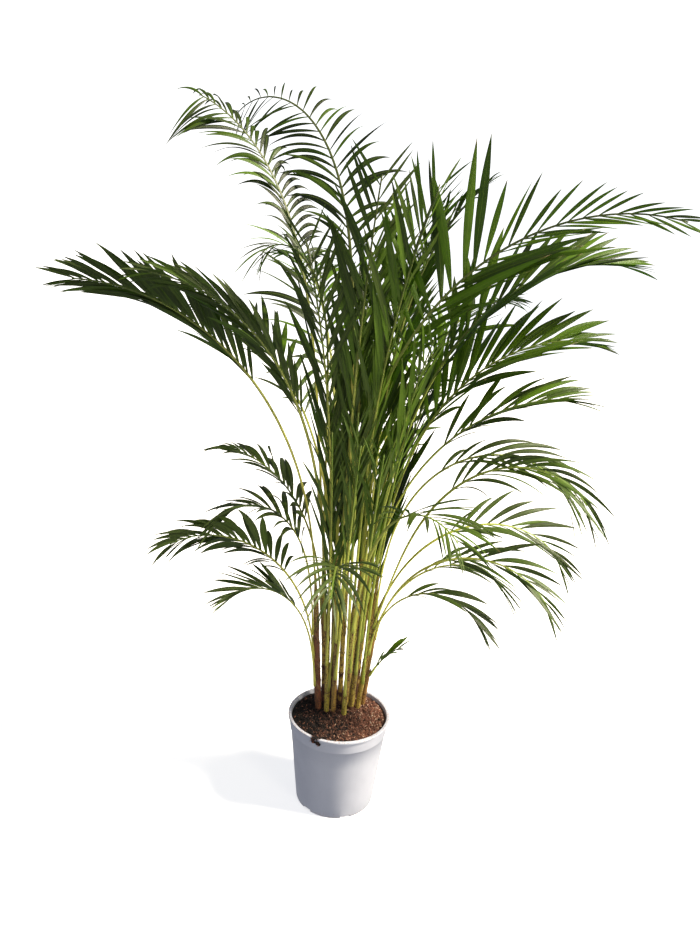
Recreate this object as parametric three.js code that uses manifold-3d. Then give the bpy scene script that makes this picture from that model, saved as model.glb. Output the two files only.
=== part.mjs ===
// A potted areca palm: twelve canes with arching pinnate fronds, in a round nursery pot.
// Millimetres and degrees, +Z up. The origin is on the ground, at the middle of the pot's base.
// Azimuth 0 is +X, to the right of a viewer who looks along +Y, and azimuth 180 is to the left.

import * as THREE from 'three';
import { mergeVertices } from 'three/addons/utils/BufferGeometryUtils.js';
import Module from 'manifold-3d';

const wasm = await Module();
wasm.setup();

// The pot, of the common 21 cm size
const POT_HEIGHT = 190;
const RIM_RADIUS = 105;
const BASE_RADIUS = 81;
const WALL = 2.5;
const COLLAR_HEIGHT = 30;
const COLLAR_STEP = 2;
const LIP_HEIGHT = 5;
const LIP_STEP = 1.8;
const RIM_EDGE = 1;
const FLOOR = 3;
const DRAINS = 6;
const FIRST_DRAIN = -72;
const DRAIN_WIDTH = 20;
const DRAIN_HEIGHT = 4.5;
const DRAIN_FROM = 64;
const POT_SIDES = 36;

// The soil
const SOIL_EDGE = 178;
const SOIL_RISE = 11;
const SOIL_LUMP = 2;
const EDGE_LUMP = 0.8;
const SOIL_RINGS = [0.28, 0.54, 0.78, 1];

// The canes
const SOIL_LINE = 172;
const ROOTED = 60;
const ROOT_END = 0.9;
const HOLE_TOP = 30;
const CANE_SIDES = 7;
const INTERNODE = 52;
const SCAR = 0.9;
const SCAR_HEIGHT = 3;
const TAPER = 0.02;
const FOOT_SWELL = 1.18;
const SWELL_AT = 6;
const SWELL_END = 28;
const SWELL_LEFT = 1.04;
const CANE_TOP = 0.84;

// The fronds. The rachis is measured by half its width, with its face and its keel as shares of that. A
// frond at the crown stands on its cane's end, and any other clasps its cane's side with a wider foot.
const PETIOLE = 3.0;
const RACHIS_TIP = 1.3;
const FACE = 0.35;
const KEEL = 0.85;
const YOUNG = 0.55;
const GROWN_LENGTH = 675;
const SIDE_FOOT = 4.4;
const SIDE_SUNK = 0.2;
const CROWN_FOOT = 0.8;
const CROWN_SUNK = 4;
const SHEATH = 46;
const PETIOLE_SPAN = 95;
const SPINE_STEPS = 48;

// The leaflets, with a pair at each pitch along the blade. Their spread from the rachis is given for the
// first pair and the last. Their width is a share of their length, or at most their room's share of the
// pitch. One that would cross another piece is tried at each lift, in degrees, and then at smaller sizes.
const LEAFLET_PITCH = 48;
const FEWEST_PAIRS = 5;
const LEAFLET_ROOT = 8;
const LEAFLET_WIDTH = 0.088;
const LEAFLET_ROOM = 0.8;
const BLADE_THICK = 0.9;
const TIP_THICK = 0.6;
const SPREAD = [62, 22];
const FOLD = 25;
const DROOP = 0.35;
const BELLY_AT = 0.45;
const LONGEST_AT = 0.3;
const FIRST_SHORTER = 0.45;
const LAST_SHORTER = 0.62;
const FALL = 1.7;
const LEAFLET_LIFTS = [0, 8, -8, 16, -16, 24];
const LEAFLET_SIZES = [1, 0.8, 0.6];
const OBSTACLE_SPAN = 4;

// What separates two pieces that touch
const GAP = 0.3;

const MATERIALS = {
  pot: new THREE.MeshStandardMaterial({ color: 0xdfe3ea, roughness: 0.5, metalness: 0 }),
  soil: new THREE.MeshStandardMaterial({ color: 0x3a2a20, roughness: 1, metalness: 0 }),
  cane: new THREE.MeshStandardMaterial({ color: 0xa98f35, roughness: 0.6, metalness: 0 }),
  frond: new THREE.MeshStandardMaterial({ color: 0x446e1c, roughness: 0.55, metalness: 0 }),
};

// Each cane: its foot on the soil line, where and how far it leans, its height and its thickness.
// Its fronds follow, from the crown down. A frond leaves its cane at a share of the cane's height, towards
// an azimuth. Its rachis leans by the first angle at the petiole's foot and by the second at its tip, and
// the bend says how late it arches. Turn rolls the blade round the rachis, so that one side stands up.
// Leaflet is the longest one's length, and longest its place along the blade. Last is how much of that
// length the last one lacks, and fall how late they shorten. SpreadBelow is the spread on the right, seen
// from the foot, where it differs, and late how late the spread changes. Fold raises the leaflets from the
// flat towards the rachis's face, and droop is how far their tips sag, as a share of their length.
const CANES = [
  { foot: [-42, 6], toward: 180, lean: 4, tall: 260, thick: 11, fronds: [
    { at: 1, toward: 181, lean: [4, 92], bend: 1.5, petiole: 460, blade: 390, leaflet: 190, turn: 60,
      spread: [32, 20], spreadBelow: [10, 10], droop: 0.15 },
    { at: 0.72, toward: 183, lean: [5, 150], bend: 2.9, petiole: 190, blade: 196, leaflet: 150,
      droop: 0.5 },
    { at: 0.5, toward: 185, lean: [6, 122], bend: 1.5, petiole: 200, blade: 255, leaflet: 140, turn: 50,
      droop: 0.4 },
    { at: 0.28, toward: 203, lean: [6, 125], bend: 2.3, petiole: 190, blade: 147, leaflet: 130,
      spread: [40, 20], droop: 0.2 },
  ] },
  { foot: [-34, 34], toward: 150, lean: 3, tall: 300, thick: 9, fronds: [
    { at: 1, toward: 173, lean: [5, 70], bend: 4, petiole: 560, blade: 419, leaflet: 125, turn: -40,
      fold: 5, spread: [10, 80], spreadBelow: [55, 30], droop: 0.5, late: 2.5, last: 0.2 },
    { at: 0.85, toward: 218, lean: [1.5, 165], bend: 8, petiole: 560, blade: 220, leaflet: 125, turn: -30 },
    { at: 0.75, toward: 168, lean: [6, 87], bend: 1.76, petiole: 190, blade: 234, leaflet: 140,
      spread: [50, 24], droop: 0.4 },
  ] },
  { foot: [-26, 0], toward: 200, lean: 2, tall: 230, thick: 8.5, fronds: [
    { at: 1, toward: 235, lean: [2, 24], bend: 1.8, petiole: 220, blade: 510, leaflet: 220, turn: 20,
      spread: [12, 34], spreadBelow: [12, 30], droop: 0.1 },
    { at: 0.88, toward: 199, lean: [4, 86], bend: 2.4, petiole: 440, blade: 380, leaflet: 160, turn: 60,
      spread: [17, 12], spreadBelow: [14, 10], droop: 0.2 },
    { at: 0.55, toward: 260, lean: [4, 14], bend: 1.4, petiole: 100, blade: 400, leaflet: 160, fold: 10,
      spread: [8, 20], droop: 0.1 },
    { at: 0.3, toward: 322, lean: [2, 5], bend: 1.4, petiole: 400, blade: 160, leaflet: 130, fold: 10,
      spread: [16, 20], droop: 0.1 },
  ] },
  { foot: [-12, -12], toward: 250, lean: 2, tall: 260, thick: 9, fronds: [
    { at: 1, toward: 285, lean: [1, 22], bend: 1.8, petiole: 350, blade: 450, leaflet: 220,
      spread: [12, 36], droop: 0.1 },
    { at: 0.9, toward: -13, lean: [0, 107], bend: 1.95, petiole: 500, blade: 577, leaflet: 270, turn: 75,
      spread: [62, 8], spreadBelow: [30, 10], droop: 0.1, late: 1.4, longest: 0.4, last: 0.75, fall: 0.3 },
    { at: 0.72, toward: 268, lean: [12, 120], bend: 1.6, petiole: 200, blade: 200, leaflet: 130,
      droop: 0.5 },
    { at: 0.4, toward: 290, lean: [5, 10], bend: 1.4, petiole: 250, blade: 250, leaflet: 150, fold: 10,
      spread: [8, 20], droop: 0.1 },
  ] },
  { foot: [0, 30], toward: 120, lean: 1, tall: 320, thick: 11, fronds: [
    { at: 1, toward: 150, lean: [2, 141], bend: 5.2, petiole: 580, blade: 500, leaflet: 175, turn: -60,
      fold: 0, spread: [26, 50], spreadBelow: [48, 70], droop: 0.4, last: 0.72, fall: 0.9 },
    { at: 0.78, toward: 85, lean: [3, 22], bend: 1.8, petiole: 70, blade: 640, leaflet: 200, fold: 5,
      spread: [10, 18], droop: 0.05 },
  ] },
  { foot: [9, -10], toward: 300, lean: 3, tall: 240, thick: 9, fronds: [
    { at: 1, toward: 312, lean: [1, 26], bend: 1.8, petiole: 350, blade: 460, leaflet: 230,
      spread: [12, 34], droop: 0.1 },
    { at: 0.88, toward: 300, lean: [8, 120], bend: 1.8, petiole: 300, blade: 190, leaflet: 150 },
    { at: 0.5, toward: 338, lean: [2, 20], bend: 1.6, petiole: 340, blade: 260, leaflet: 170, fold: 10,
      spread: [8, 20], droop: 0.1 },
    { at: 0.28, toward: 258, lean: [2, 7], bend: 1.4, petiole: 420, blade: 170, leaflet: 130, fold: 10,
      spread: [16, 20], droop: 0.1 },
  ] },
  { foot: [22, 8], toward: 0, lean: 3, tall: 300, thick: 12, fronds: [
    { at: 1, toward: 4, lean: [8, 96], bend: 2.3, petiole: 430, blade: 420, leaflet: 230, turn: 25,
      spread: [40, 14], spreadBelow: [24, 10], droop: 0.15 },
    { at: 0.88, toward: -10, lean: [5, 86], bend: 1.45, petiole: 350, blade: 250, leaflet: 190, turn: 20,
      spread: [38, 14], spreadBelow: [26, 10], droop: 0.25 },
    { at: 0.6, toward: -50, lean: [5, 24], bend: 1.6, petiole: 350, blade: 280, leaflet: 180, fold: 10,
      spread: [8, 22], droop: 0.1 },
    { at: 0.35, toward: -75, lean: [6, 16], bend: 1.4, petiole: 260, blade: 230, leaflet: 150, fold: 10,
      spread: [8, 20], droop: 0.1 },
  ] },
  { foot: [14, 40], toward: 30, lean: 3, tall: 280, thick: 11, fronds: [
    { at: 1, toward: 30, lean: [0, 24], bend: 1.8, petiole: 200, blade: 610, leaflet: 230, turn: 40,
      spread: [12, 30], droop: 0.1 },
    { at: 0.92, toward: -12, lean: [2, 50], bend: 3.5, petiole: 560, blade: 280, leaflet: 150 },
    { at: 0.76, toward: 70, lean: [5, 50], bend: 1.8, petiole: 70, blade: 730, leaflet: 210, fold: 5,
      spread: [12, 24], droop: 0.05 },
  ] },
  { foot: [36, 18], toward: 10, lean: 5, tall: 260, thick: 9, fronds: [
    { at: 1, toward: -2, lean: [3, 92], bend: 1.9, petiole: 380, blade: 340, leaflet: 210, turn: 35,
      spread: [40, 14], spreadBelow: [26, 10], droop: 0.2 },
    { at: 0.88, toward: -12, lean: [3, 158], bend: 1.96, petiole: 330, blade: 290, leaflet: 180, turn: 20,
      spread: [34, 12], spreadBelow: [22, 8], droop: 0.45 },
    { at: 0.78, toward: -20, lean: [15, 150], bend: 2.5, petiole: 330, blade: 290, leaflet: 170, turn: 50,
      spread: [30, 12], spreadBelow: [20, 8], droop: 0.45 },
    { at: 0.55, toward: -21, lean: [6, 150], bend: 1.47, petiole: 160, blade: 170, leaflet: 130,
      spread: [24, 12], spreadBelow: [18, 8], droop: 0.4 },
    { at: 0.3, toward: 300, lean: [2, 22], bend: 1.4, petiole: 420, blade: 165, leaflet: 130, fold: 10,
      spread: [16, 20], droop: 0.1 },
  ] },
  { foot: [47, 38], toward: 30, lean: 5, tall: 220, thick: 8.5, fronds: [
    { at: 1, toward: 2, lean: [18, 150], bend: 1.44, petiole: 230, blade: 273, leaflet: 200, turn: 40,
      spread: [30, 12], spreadBelow: [20, 8], droop: 0.5 },
    { at: 0.88, toward: -20, lean: [18, 150], bend: 1.41, petiole: 200, blade: 250, leaflet: 190, turn: 40,
      spread: [28, 12], spreadBelow: [20, 8], droop: 0.5 },
    { at: 0.74, toward: 14, lean: [8, 150], bend: 1.2, petiole: 170, blade: 220, leaflet: 150,
      spread: [30, 12], spreadBelow: [20, 8], droop: 0.5 },
    { at: 0.38, toward: -20, lean: [26, 54], bend: 1.2, petiole: 20, blade: 85, leaflet: 75,
      spread: [30, 14] },
  ] },
  { foot: [-18, 56], toward: 110, lean: 4, tall: 280, thick: 10, fronds: [
    { at: 1, toward: 110, lean: [4, 90], bend: 1.7, petiole: 430, blade: 480, leaflet: 230 },
    { at: 0.9, toward: 150, lean: [5, 80], bend: 1.7, petiole: 370, blade: 340, leaflet: 210 },
    { at: 0.75, toward: 95, lean: [10, 14], bend: 1.4, petiole: 50, blade: 460, leaflet: 200, fold: 5,
      spread: [12, 12], droop: 0.05 },
  ] },
  { foot: [32, 60], toward: 60, lean: 5, tall: 260, thick: 10, fronds: [
    { at: 1, toward: 50, lean: [5, 95], bend: 1.7, petiole: 400, blade: 460, leaflet: 220 },
    { at: 0.88, toward: 80, lean: [8, 110], bend: 1.5, petiole: 300, blade: 440, leaflet: 220 },
    { at: 0.74, toward: 30, lean: [8, 24], bend: 1.4, petiole: 50, blade: 560, leaflet: 200, fold: 5,
      spread: [12, 14], droop: 0.05 },
  ] },
];

const UP = new THREE.Vector3(0, 0, 1);
const rad = THREE.MathUtils.degToRad;
const lerp = THREE.MathUtils.lerp;

// A direction that leans from the vertical towards an azimuth
function leaning(lean, toward) {
  const out = Math.sin(rad(lean));
  return new THREE.Vector3(out * Math.cos(rad(toward)), out * Math.sin(rad(toward)), Math.cos(rad(lean)));
}

// A body under construction: its corners, and its triangles by corner number, all seen from outside
function newBody() {
  return { corners: [], faces: [] };
}

function addRing(body, points) {
  const first = body.corners.length;
  body.corners.push(...points);
  return points.map((point, k) => first + k);
}

// The wall between two rings that run anticlockwise seen from the far end. Edges named in open are left
// out, and those in flip are split along their other diagonal. Triangles that shrink to a line, where two
// corners are one, are left out too.
function addWall(body, near, far, { open = [], flip = [] } = {}) {
  near.forEach((a, k) => {
    const next = (k + 1) % near.length;
    const [b, c, d] = [near[next], far[next], far[k]];
    const split = flip.includes(k) ? [[a, b, d], [b, c, d]] : [[a, b, c], [a, c, d]];
    const pair = open.includes(k) ? [] : split;
    for (const face of pair) {
      if (new Set(face).size === 3) {
        body.faces.push(face);
      }
    }
  });
}

// The lid on a ring, fanned from its first corner. It faces backwards at a near end.
function addLid(body, ring, facesBack) {
  for (let k = 1; k + 1 < ring.length; k += 1) {
    const face = [ring[0], ring[k], ring[k + 1]];
    body.faces.push(facesBack ? face.reverse() : face);
  }
}

function solidOf(body) {
  const vertProperties = new Float32Array(body.corners.flatMap((point) => point.toArray()));
  const triVerts = new Uint32Array(body.faces.flat());
  return new wasm.Manifold(new wasm.Mesh({ numProp: 3, vertProperties, triVerts }));
}

function solidOfGeometry(geometry) {
  const bare = geometry.clone();
  bare.deleteAttribute('normal');
  bare.deleteAttribute('uv');
  const merged = mergeVertices(bare, 1e-4);
  return new wasm.Manifold(new wasm.Mesh({
    numProp: 3,
    vertProperties: new Float32Array(merged.attributes.position.array),
    triVerts: new Uint32Array(merged.index.array),
  }));
}

function geometryOf(solid) {
  const mesh = solid.getMesh();
  const geometry = new THREE.BufferGeometry();
  geometry.setAttribute('position', new THREE.BufferAttribute(new Float32Array(mesh.vertProperties), 3));
  geometry.setIndex(new THREE.BufferAttribute(new Uint32Array(mesh.triVerts), 1));
  geometry.computeVertexNormals();
  return geometry;
}

function node(name, solid, material) {
  const mesh = new THREE.Mesh(geometryOf(solid), material);
  mesh.name = name;
  return mesh;
}

// Pot

// The outside of the plain wall, and the inside of it, at a height
function wallRadius(z) {
  return lerp(BASE_RADIUS, RIM_RADIUS - LIP_STEP - COLLAR_STEP, z / POT_HEIGHT);
}

function insideRadius(z) {
  return wallRadius(z) - WALL;
}

// The floor is flat, and its drains are slots through the foot of the wall and the floor's edge
function makePot() {
  const collar = POT_HEIGHT - COLLAR_HEIGHT;
  const lip = POT_HEIGHT - LIP_HEIGHT;
  const outline = [
    [0, 0],
    [wallRadius(0), 0],
    [wallRadius(collar), collar],
    [wallRadius(collar) + COLLAR_STEP, collar + COLLAR_STEP],
    [wallRadius(lip) + COLLAR_STEP, lip],
    [RIM_RADIUS, lip + LIP_STEP / 2],
    [RIM_RADIUS, POT_HEIGHT - RIM_EDGE],
    [RIM_RADIUS - RIM_EDGE, POT_HEIGHT],
    [insideRadius(POT_HEIGHT), POT_HEIGHT],
    [insideRadius(FLOOR), FLOOR],
    [0, FLOOR],
  ];
  const profile = outline.map(([radius, height]) => new THREE.Vector2(radius, height));
  const turned = new THREE.LatheGeometry(profile, POT_SIDES);
  turned.rotateX(Math.PI / 2);
  let pot = solidOfGeometry(turned);
  for (let k = 0; k < DRAINS; k += 1) {
    const drain = new THREE.BoxGeometry(RIM_RADIUS - DRAIN_FROM, DRAIN_WIDTH, 2 * DRAIN_HEIGHT);
    drain.translate((RIM_RADIUS + DRAIN_FROM) / 2, 0, 0);
    drain.rotateZ(rad(FIRST_DRAIN + (k * 360) / DRAINS));
    pot = pot.subtract(solidOfGeometry(drain));
  }
  return pot;
}

// Soil

// A lump's height between -1 and 1 for a place on the soil, the same on every run
function lump(k, ring) {
  const wave = Math.sin(k * 12.9898 + ring * 78.233) * 43758.5453;
  return (wave - Math.floor(wave)) * 2 - 1;
}

function circle(radius, height) {
  return Array.from({ length: POT_SIDES }, (unused, k) => {
    const turn = (2 * Math.PI * k) / POT_SIDES;
    return new THREE.Vector3(radius * Math.cos(turn), radius * Math.sin(turn), height(k));
  });
}

function makeSoil(canes) {
  const bottom = FLOOR + GAP;
  const edge = insideRadius(SOIL_EDGE - 2 * SOIL_LUMP) - GAP;
  const body = newBody();
  let last = addRing(body, circle(insideRadius(bottom) - GAP, () => bottom));
  addLid(body, last, true);
  [...SOIL_RINGS].reverse().forEach((share, ring) => {
    const level = SOIL_EDGE - SOIL_LUMP + SOIL_RISE * (1 - share * share);
    const rough = share < 1 ? SOIL_LUMP : EDGE_LUMP;
    const next = addRing(body, circle(edge * share, (k) => level + rough * lump(k, ring)));
    addWall(body, last, next);
    last = next;
  });
  addLid(body, last, false);
  return canes.reduce((soil, cane) => soil.subtract(makeHole(cane)), solidOf(body));
}

// Canes

function caneAxis(cane) {
  return leaning(cane.lean, cane.toward);
}

// A point on a cane's axis, at a share of its height above the soil line
function caneAt(cane, share) {
  return new THREE.Vector3(...cane.foot, SOIL_LINE).addScaledVector(caneAxis(cane), cane.tall * share);
}

// A solid along a cane's axis, of rings given by their height over the soil line and their radius
function aroundAxis(cane, marks) {
  const axis = caneAxis(cane);
  const side = new THREE.Vector3(0, 1, 0).cross(axis).normalize();
  const other = axis.clone().cross(side);
  const body = newBody();
  const rings = marks.map(([height, radius]) => {
    const centre = caneAt(cane, height / cane.tall);
    const ring = Array.from({ length: CANE_SIDES }, (unused, k) => {
      const turn = (2 * Math.PI * k) / CANE_SIDES;
      const round = side.clone().multiplyScalar(Math.cos(turn)).addScaledVector(other, Math.sin(turn));
      return centre.clone().addScaledVector(round, radius);
    });
    return addRing(body, ring);
  });
  addLid(body, rings[0], true);
  rings.slice(1).forEach((ring, k) => addWall(body, rings[k], ring));
  addLid(body, rings.at(-1), false);
  return solidOf(body);
}

// A cane tapers a little, stands on a swollen foot, and is ringed by the scars of the leaves it has shed
function makeCane(cane, extra) {
  const radius = cane.thick / 2;
  const marks = [[-ROOTED, ROOT_END], [SWELL_AT, FOOT_SWELL], [SWELL_END, SWELL_LEFT]];
  const scars = Math.floor(cane.tall / INTERNODE);
  for (let k = 1; k <= scars; k += 1) {
    const height = (k * cane.tall) / (scars + 1);
    const share = 1 - TAPER * k;
    marks.push([height - SCAR_HEIGHT, share], [height, share + SCAR / radius]);
  }
  marks.push([cane.tall, CANE_TOP]);
  return aroundAxis(cane, marks.map(([height, share], k) => {
    const end = k === 0 ? -extra : 0;
    const top = k === marks.length - 1 ? extra : 0;
    return [height + end + top, radius * share + extra];
  }));
}

// The plain hole in the soil that a cane stands in
function makeHole(cane) {
  const radius = (FOOT_SWELL * cane.thick) / 2 + GAP;
  return aroundAxis(cane, [[-ROOTED - GAP, radius], [HOLE_TOP, radius]]);
}

// Fronds

const smooth = (x) => THREE.MathUtils.smoothstep(x, 0, 1);

// The line of a frond from its foot on the cane to its tip, with a frame at each step: along, side and face
function spineOf(cane, frond) {
  const length = frond.petiole + frond.blade;
  const step = length / SPINE_STEPS;
  const outward = leaning(90, frond.toward);
  const place = caneAt(cane, frond.at);
  if (frond.at === 1) {
    place.addScaledVector(caneAxis(cane), -CROWN_SUNK);
  } else {
    place.addScaledVector(outward, cane.thick / 2 + SIDE_FOOT * SIDE_SUNK);
  }
  const points = [];
  for (let k = 0; k <= SPINE_STEPS; k += 1) {
    const share = k / SPINE_STEPS;
    const along = leaning(lerp(...frond.lean, share ** frond.bend), frond.toward);
    const level = UP.clone().cross(outward);
    const across = along.clone().cross(level);
    const roll = rad((frond.turn ?? 0) * smooth(2 * share));
    const side = level.clone().multiplyScalar(Math.cos(roll)).addScaledVector(across, Math.sin(roll));
    points.push({ place: place.clone(), along, side, face: along.clone().cross(side) });
    place.addScaledVector(along, step);
  }
  return points;
}

function spineAt(spine, share) {
  const step = Math.min(share * SPINE_STEPS, SPINE_STEPS - 1e-6);
  const k = Math.floor(step);
  const [here, next] = [spine[k], spine[k + 1]];
  const mix = (key) => here[key].clone().lerp(next[key], step - k);
  return {
    place: mix('place'),
    along: mix('along').normalize(),
    side: mix('side').normalize(),
    face: mix('face').normalize(),
  };
}

// The rachis is three-sided: left and right edges beside a flat face, and a keel below it
function rachisRing(spine, frond, distance, extra = 0) {
  const length = frond.petiole + frond.blade;
  const at = spineAt(spine, distance / length);
  const foot = 1 - smooth(distance / SHEATH);
  const bladeShare = Math.max(0, (distance - frond.petiole) / frond.blade);
  const small = Math.min(1, lerp(YOUNG, 1, length / GROWN_LENGTH));
  const plain = small * lerp(PETIOLE, RACHIS_TIP, bladeShare);
  const half = extra + lerp(plain, frond.footHalf, foot);
  return [[half, FACE * half], [-half, FACE * half], [0, -KEEL * half]].map(([across, high]) => (
    at.place.clone().addScaledVector(at.side, across).addScaledVector(at.face, high)
  ));
}

// A leaflet's length beside the longest, which on most fronds grows at about a third of the blade
function leafletShape(frond, t) {
  const longest = frond.longest ?? LONGEST_AT;
  if (t < longest) {
    return 1 - FIRST_SHORTER * (1 - t / longest) ** 2;
  }
  return 1 - (frond.last ?? LAST_SHORTER) * ((t - longest) / (1 - longest)) ** (frond.fall ?? FALL);
}

// The far rings of one leaflet: its widest place, and the edge that is its tip
function leafletRings(spine, frond, t, sign, habit, extra = 0) {
  const at = spineAt(spine, (frond.petiole + t * frond.blade) / (frond.petiole + frond.blade));
  const spreads = (sign < 0 && frond.spreadBelow) || frond.spread || SPREAD;
  const spread = rad(lerp(...spreads, t ** (frond.late ?? 1)));
  const fold = rad((frond.fold ?? FOLD) + habit.lift);
  const out = at.side.clone().multiplyScalar(sign * Math.cos(fold)).addScaledVector(at.face, Math.sin(fold));
  const aim = at.along.clone().multiplyScalar(Math.cos(spread)).addScaledVector(out, Math.sin(spread));
  const length = frond.leaflet * leafletShape(frond, t) * habit.size;
  const droop = (frond.droop ?? DROOP) * length;
  const pointAt = (v) => (
    at.place.clone().addScaledVector(aim, length * v).addScaledVector(UP, -droop * v * v)
  );
  const wide = at.along.clone().addScaledVector(aim, -at.along.dot(aim)).normalize();
  const thin = wide.clone().cross(aim).multiplyScalar(sign);
  // No wider than its room beside the next leaflet, which a narrow spread makes small
  const half = Math.min(LEAFLET_WIDTH * length, LEAFLET_ROOM * LEAFLET_PITCH * Math.sin(spread)) / 2 + extra;
  const thick = BLADE_THICK / 2 + extra;
  const edge = TIP_THICK / 2 + extra;
  const corner = (centre, across, high) => (
    centre.clone().addScaledVector(wide, across).addScaledVector(thin, high)
  );
  const belly = pointAt(BELLY_AT);
  const tip = pointAt(1);
  const back = [corner(belly, -half, -thick), corner(belly, -half, thick)];
  const front = [corner(belly, half, thick), corner(belly, half, -thick)];
  return { back, front, end: [corner(tip, 0, -edge), corner(tip, 0, edge)] };
}

// Adds one leaflet to a body, from the four corners of its root: below, above, above and below again,
// from the side of the petiole to the side of the tip on the left, and mirrored on the right
function addLeaflet(body, root, rings, sign) {
  const { back, front, end } = rings;
  const belly = addRing(body, [...back, ...front]);
  const [low, high] = addRing(body, end);
  const tip = [low, high, high, low];
  if (sign > 0) {
    addWall(body, root, belly, { flip: [3] });
    addWall(body, belly, tip, { flip: [3] });
  } else {
    const mirrored = (ring) => [ring[1], ring[0], ring[3], ring[2]];
    addWall(body, root, mirrored(belly), { flip: [3] });
    addWall(body, mirrored(belly), mirrored(tip), { flip: [3] });
  }
}

// Where the rings of a frond's rachis stand, as distances from its foot, with each pair of leaflets
// growing between two of them
function stationsOf(frond) {
  const pairs = Math.max(FEWEST_PAIRS, Math.round(frond.blade / LEAFLET_PITCH));
  const spans = Math.ceil((frond.petiole - SHEATH) / PETIOLE_SPAN);
  const stations = [{ distance: 0 }, { distance: SHEATH / 2 }];
  for (let k = 0; k < spans; k += 1) {
    stations.push({ distance: lerp(SHEATH, frond.petiole, k / spans) });
  }
  for (let k = 0; k < pairs; k += 1) {
    const t = (k + 0.5) / pairs;
    const middle = frond.petiole + t * frond.blade;
    stations.push({ distance: middle - LEAFLET_ROOT / 2, pair: t }, { distance: middle + LEAFLET_ROOT / 2 });
  }
  stations.push({ distance: frond.petiole + frond.blade });
  return stations;
}

// The corners of a leaflet's root, on the left or the right side of the rachis
function rootOf(near, far, sign) {
  return sign > 0 ? [near[2], near[0], far[0], far[2]] : [near[1], near[2], far[2], far[1]];
}

// What stands in a leaflet's way: every cane and rachis, and the leaflets placed so far
const obstacles = [];

function addObstacle(owner, solid, corners) {
  obstacles.push({ owner, solid, box: new THREE.Box3().setFromPoints(corners) });
}

function addRachisObstacles(frond) {
  const stations = frond.stations;
  for (let k = 0; k + 1 < stations.length; k += OBSTACLE_SPAN) {
    const body = newBody();
    const rings = stations.slice(k, k + OBSTACLE_SPAN + 1).map(({ distance }) => (
      addRing(body, rachisRing(frond.spine, frond, distance, GAP))
    ));
    addLid(body, rings[0], true);
    rings.slice(1).forEach((ring, j) => addWall(body, rings[j], ring));
    addLid(body, rings.at(-1), false);
    addObstacle(frond, solidOf(body), body.corners);
  }
}

function isClear(owner, solid, corners) {
  const box = new THREE.Box3().setFromPoints(corners);
  const nearby = obstacles.filter((other) => other.owner !== owner && other.box.intersectsBox(box));
  return !nearby.some((other) => solid.intersect(other.solid).getMesh().triVerts.length > 0);
}

// A leaflet is bent clear of what it would cross: lifted or lowered, then shortened, and left out where
// no such habit frees it
function settleLeaflet(frond, station, next, sign) {
  for (const size of LEAFLET_SIZES) {
    for (const lift of LEAFLET_LIFTS) {
      const habit = { size, lift };
      const body = newBody();
      const near = addRing(body, rachisRing(frond.spine, frond, station.distance));
      const far = addRing(body, rachisRing(frond.spine, frond, next.distance));
      const root = rootOf(near, far, sign).map((corner) => body.corners[corner]);
      const bare = newBody();
      const ring = addRing(bare, root);
      addLid(bare, ring, true);
      addLeaflet(bare, ring, leafletRings(frond.spine, frond, station.pair, sign, habit, GAP), sign);
      const solid = solidOf(bare);
      if (isClear(frond, solid, bare.corners)) {
        addObstacle(frond, solid, bare.corners);
        return habit;
      }
    }
  }
  return null;
}

function makeFrond(frond) {
  const body = newBody();
  const rings = frond.stations.map(({ distance }) => addRing(body, rachisRing(frond.spine, frond, distance)));
  addLid(body, rings[0], true);
  rings.slice(1).forEach((ring, k) => {
    const { pair, habits } = frond.stations[k];
    const open = [];
    [1, -1].forEach((sign, side) => {
      if (habits?.[side]) {
        const far = leafletRings(frond.spine, frond, pair, sign, habits[side]);
        open.push(sign > 0 ? 2 : 1);
        addLeaflet(body, rootOf(rings[k], ring, sign), far, sign);
      }
    });
    addWall(body, rings[k], ring, { open });
  });
  addLid(body, rings.at(-1), false);
  return solidOf(body).subtract(frond.cane.swollen);
}

// Assembly

const canes = CANES.map((cane) => ({ ...cane, swollen: makeCane(cane, GAP) }));
const fronds = canes.flatMap((cane, number) => cane.fronds.map((row, letter) => {
  const footHalf = row.at === 1 ? (CROWN_FOOT * CANE_TOP * cane.thick) / 2 : SIDE_FOOT;
  const frond = { ...row, cane, footHalf, name: `frond_${number + 1}${'abcdef'[letter]}` };
  return { ...frond, spine: spineOf(cane, frond), stations: stationsOf(frond) };
}));

canes.forEach((cane) => {
  const ends = [caneAt(cane, -ROOTED / cane.tall), caneAt(cane, 1)];
  const box = new THREE.Box3().setFromPoints(ends).expandByScalar(cane.thick);
  addObstacle(cane, cane.swollen, [box.min, box.max]);
});
fronds.forEach(addRachisObstacles);
for (const frond of fronds) {
  frond.stations.forEach((station, k) => {
    if (station.pair !== undefined) {
      station.habits = [1, -1].map((sign) => settleLeaflet(frond, station, frond.stations[k + 1], sign));
    }
  });
}

const palm = new THREE.Group();
palm.name = 'potted_palm';
palm.add(node('pot', makePot(), MATERIALS.pot));
palm.add(node('soil', makeSoil(canes), MATERIALS.soil));
canes.forEach((cane, number) => palm.add(node(`cane_${number + 1}`, makeCane(cane, 0), MATERIALS.cane)));
fronds.forEach((frond) => palm.add(node(frond.name, makeFrond(frond), MATERIALS.frond)));

export default palm;
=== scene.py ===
import math
import random
from collections import namedtuple

import bmesh
import bpy
from mathutils import Matrix, Vector, noise


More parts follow.
